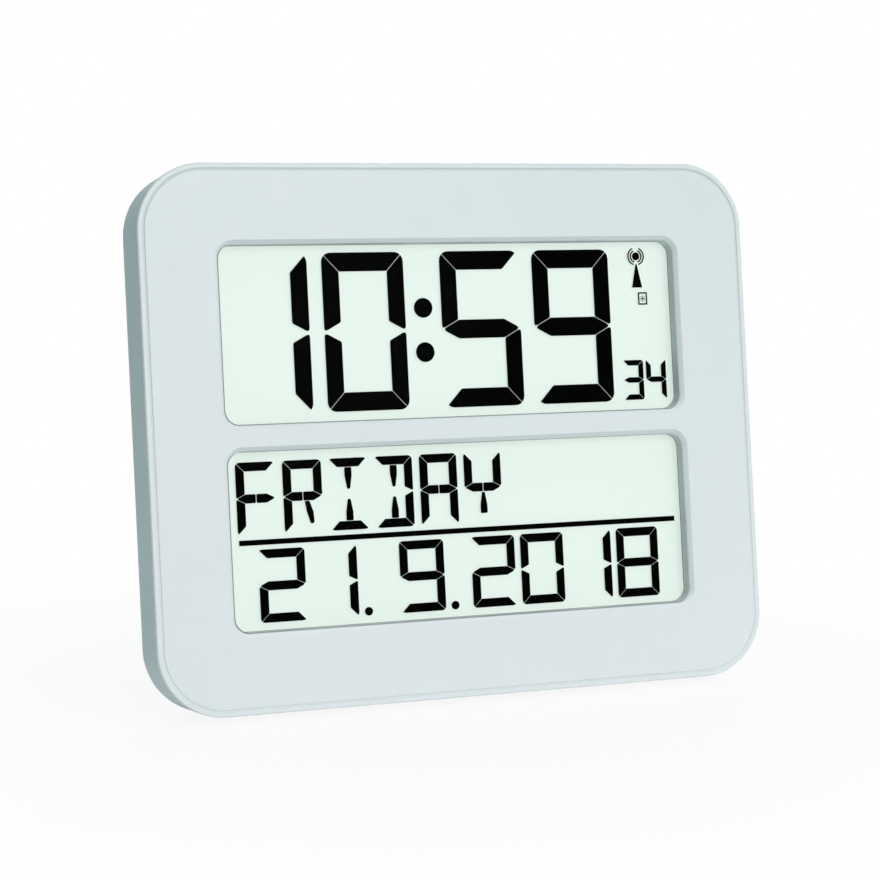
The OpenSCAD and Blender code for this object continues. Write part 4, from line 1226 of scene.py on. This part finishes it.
class CLOCK_OT_inside(bpy.types.Operator):
    """Finish the boards, the cells, the contacts, the aerial and the screws"""

    bl_idname = "clock.inside"
    bl_label = "Inside"

    def execute(self, context):
        colours, sizes = context.scene.clock_colours, context.scene.clock_inside
        dress(circuit_board(colours.board), "main_board", "key_board", "receiver_board")
        dress(moulded("black_plastic", linear(30, 32, 34), grain=0.3 * MM, rough=0.45),
              "board_parts", "receiver_header", "plunger_mode", "plunger_set",
              "plunger_plus", "plunger_minus")
        dress(metal("switch_metal", linear(186, 189, 190), rough=0.4), "key_switches",
              "quartz_crystal")
        dress(metal("spring_steel", linear(205, 205, 200), rough=0.35), "battery_springs",
              "terminal_upper", "terminal_lower", "terminal_bridge")
        dress(metal("screw_steel", linear(190, 192, 194), rough=0.38), "housing_screws",
              "board_screws", "key_board_screws")
        dress(ribbon_film(), "key_ribbon")
        dress(moulded("wire_insulation", linear(168, 40, 38), grain=0.5 * MM, rough=0.4),
              "battery_leads", "antenna_leads")
        dress(cell_wrap(colours.wrap), "battery_upper", "battery_lower")
        dress(moulded("ferrite", linear(52, 52, 55), grain=0.2 * MM, rough=0.6, tone=0.2),
              "antenna_rod")
        dress(copper_wire(), "antenna_coil")
        moulded("white_paint", linear(236, 240, 240), grain=0.4 * MM, rough=0.5)
        make_winding(sizes)
        make_pins(sizes)
        make_part_ends(sizes)
        return {"FINISHED"}


# ---- Stage ------------------------------------------------------------------

# Offset from the middle of the front face, and size
LAMPS = {"front_lamp": ((0.4, -2.25, 0.85), 1.1), "upper_lamp": ((0.35, -0.6, 1.9), 0.8),
         "rear_lamp": ((0.95, 2.0, 0.85), 1.0)}
LAMP_TINT = (1.0, 0.9, 0.9)
SENSOR, CLIP_START, CLIP_END = 36.0, 0.01, 50.0
FLOOR_HALF, FLOOR_GREY = 6.0, [0.9, 0.9, 0.9]
# Share of the floor's shadow that shows near the clock, and where it begins and ends
SHADOW, FADE_START, FADE_END = 0.1, 0.1, 0.3


def seen(graph):
    """1 for rays from the camera, or through or off glass and metal."""
    camera, glossy, through = (
        graph.node("ShaderNodeLightPath", {}, {}, name)
        for name in ("Is Camera Ray", "Is Glossy Ray", "Is Transmission Ray"))
    return (camera + glossy + through).clamped()


def aimed(name, data, offset, ahead):
    """A lamp or camera at an offset from the middle of the front face."""
    made = linked(name, data)
    made.location = ORIGIN + offset
    made.rotation_mode = "QUATERNION"
    made.rotation_quaternion = ahead.to_track_quat("-Z", "Y")
    return made


class CLOCK_OT_stage(bpy.types.Operator):
    """Set up the floor, the even light, the soft lamps and the camera"""

    bl_idname = "clock.stage"
    bl_label = "Stage"

    def execute(self, context):
        setup = context.scene.clock_stage
        context.scene.view_settings.view_transform = "Standard"
        self.make_floor()
        self.make_sky(context.scene, setup.sky)
        for name, (offset, size) in LAMPS.items():
            self.make_lamp(name, Vector(offset), size, getattr(setup, name))
        self.make_camera(context.scene, setup)
        return {"FINISHED"}

    @staticmethod
    def make_floor():
        """Pale floor that shows white, with a trace of the clock's shadow."""
        finish = Finish("floor")
        grey = finish.shade(FLOOR_GREY, 0.01, finish.noise(3 * MM))
        plain = finish.node("ShaderNodeBsdfDiffuse", {}, {"Color": grey})
        white = finish.node("ShaderNodeEmission", {}, {"Color": WHITE})
        away = finish.vector("LENGTH", finish.place, output="Value")
        faded = ((away - FADE_START) * (1 / (FADE_END - FADE_START))).clamped()
        shown = seen(finish) * (faded * SHADOW + (1 - SHADOW))
        mixed = finish.node("ShaderNodeMixShader", {}, {0: shown, 1: plain, 2: white})
        finish.node("ShaderNodeOutputMaterial", {}, {"Surface": mixed})
        mesh = bmesh.new()
        bmesh.ops.create_grid(mesh, x_segments=8, y_segments=8, size=FLOOR_HALF)
        drawn("floor", mesh, finish.material)

    @staticmethod
    def make_sky(scene, strength):
        """Even light that shows white behind the clock."""
        scene.world = bpy.data.worlds.new("sky")
        scene.world.use_nodes = True
        sky = Graph(scene.world.node_tree)
        sky.tree.nodes.clear()
        colour = sky.mix(seen(sky), (*strength, 1.0), WHITE)
        light = sky.node("ShaderNodeBackground", {}, {"Color": colour})
        sky.node("ShaderNodeOutputWorld", {}, {"Surface": light})

    @staticmethod
    def make_lamp(name, offset, size, strength):
        """A square soft lamp aimed at the face, with a share of a full white's light."""
        data = bpy.data.lights.new(name, "AREA")
        data.energy = strength * math.pi ** 2 * offset.length_squared
        data.size = size
        data.color = LAMP_TINT
        aimed(name, data, offset, -offset)

    @staticmethod
    def make_camera(scene, setup):
        """The camera before the clock, to its left, dipped a little."""
        data = bpy.data.cameras.new("camera")
        data.sensor_width = SENSOR
        data.lens = setup.focal
        data.clip_start, data.clip_end = CLIP_START, CLIP_END
        level = math.cos(setup.pitch)
        ahead = Vector((math.sin(setup.yaw) * level, math.cos(setup.yaw) * level,
                        -math.sin(setup.pitch)))
        scene.camera = aimed("camera", data, Vector(setup.camera), ahead)


# ---- Panel ------------------------------------------------------------------


class CLOCK_PT_panel(bpy.types.Panel):
    """Buttons and sizes of the day clock"""

    bl_idname = "CLOCK_PT_panel"
    bl_label = "Day clock"
    bl_space_type = "VIEW_3D"
    bl_region_type = "UI"
    bl_category = "Day clock"

    def draw(self, context):
        for operator in OPERATORS:
            self.layout.operator(operator.bl_idname)
        for name in GROUPS:
            group = getattr(context.scene, name)
            card = self.layout.box()
            for key in group.bl_rna.properties.keys():
                if key not in ("rna_type", "name"):
                    card.prop(group, key)


GROUPS = {"clock_colours": ClockColours, "clock_front": FrontSizes, "clock_time": TimeSizes,
          "clock_date": DateSizes, "clock_weekday": WeekdaySizes, "clock_signs": SignSizes,
          "clock_marks": MarkSizes, "clock_inside": InsideSizes, "clock_stage": StageSetup}
OPERATORS = (CLOCK_OT_stage, CLOCK_OT_housing, CLOCK_OT_display, CLOCK_OT_time,
             CLOCK_OT_date, CLOCK_OT_weekday, CLOCK_OT_signs, CLOCK_OT_inside,
             CLOCK_OT_marks)
CLASSES = (*GROUPS.values(), *OPERATORS, CLOCK_PT_panel)


def register():
    for made in CLASSES:
        bpy.utils.register_class(made)
    for name, group in GROUPS.items():
        setattr(bpy.types.Scene, name, bpy.props.PointerProperty(type=group))


def unregister():
    for name in GROUPS:
        delattr(bpy.types.Scene, name)
    for made in reversed(CLASSES):
        bpy.utils.unregister_class(made)


def main():
    """Makes every piece in order."""
    register()
    for operator in OPERATORS:
        getattr(bpy.ops.clock, operator.bl_idname.split(".")[1])()


if __name__ == "__main__":
    main()
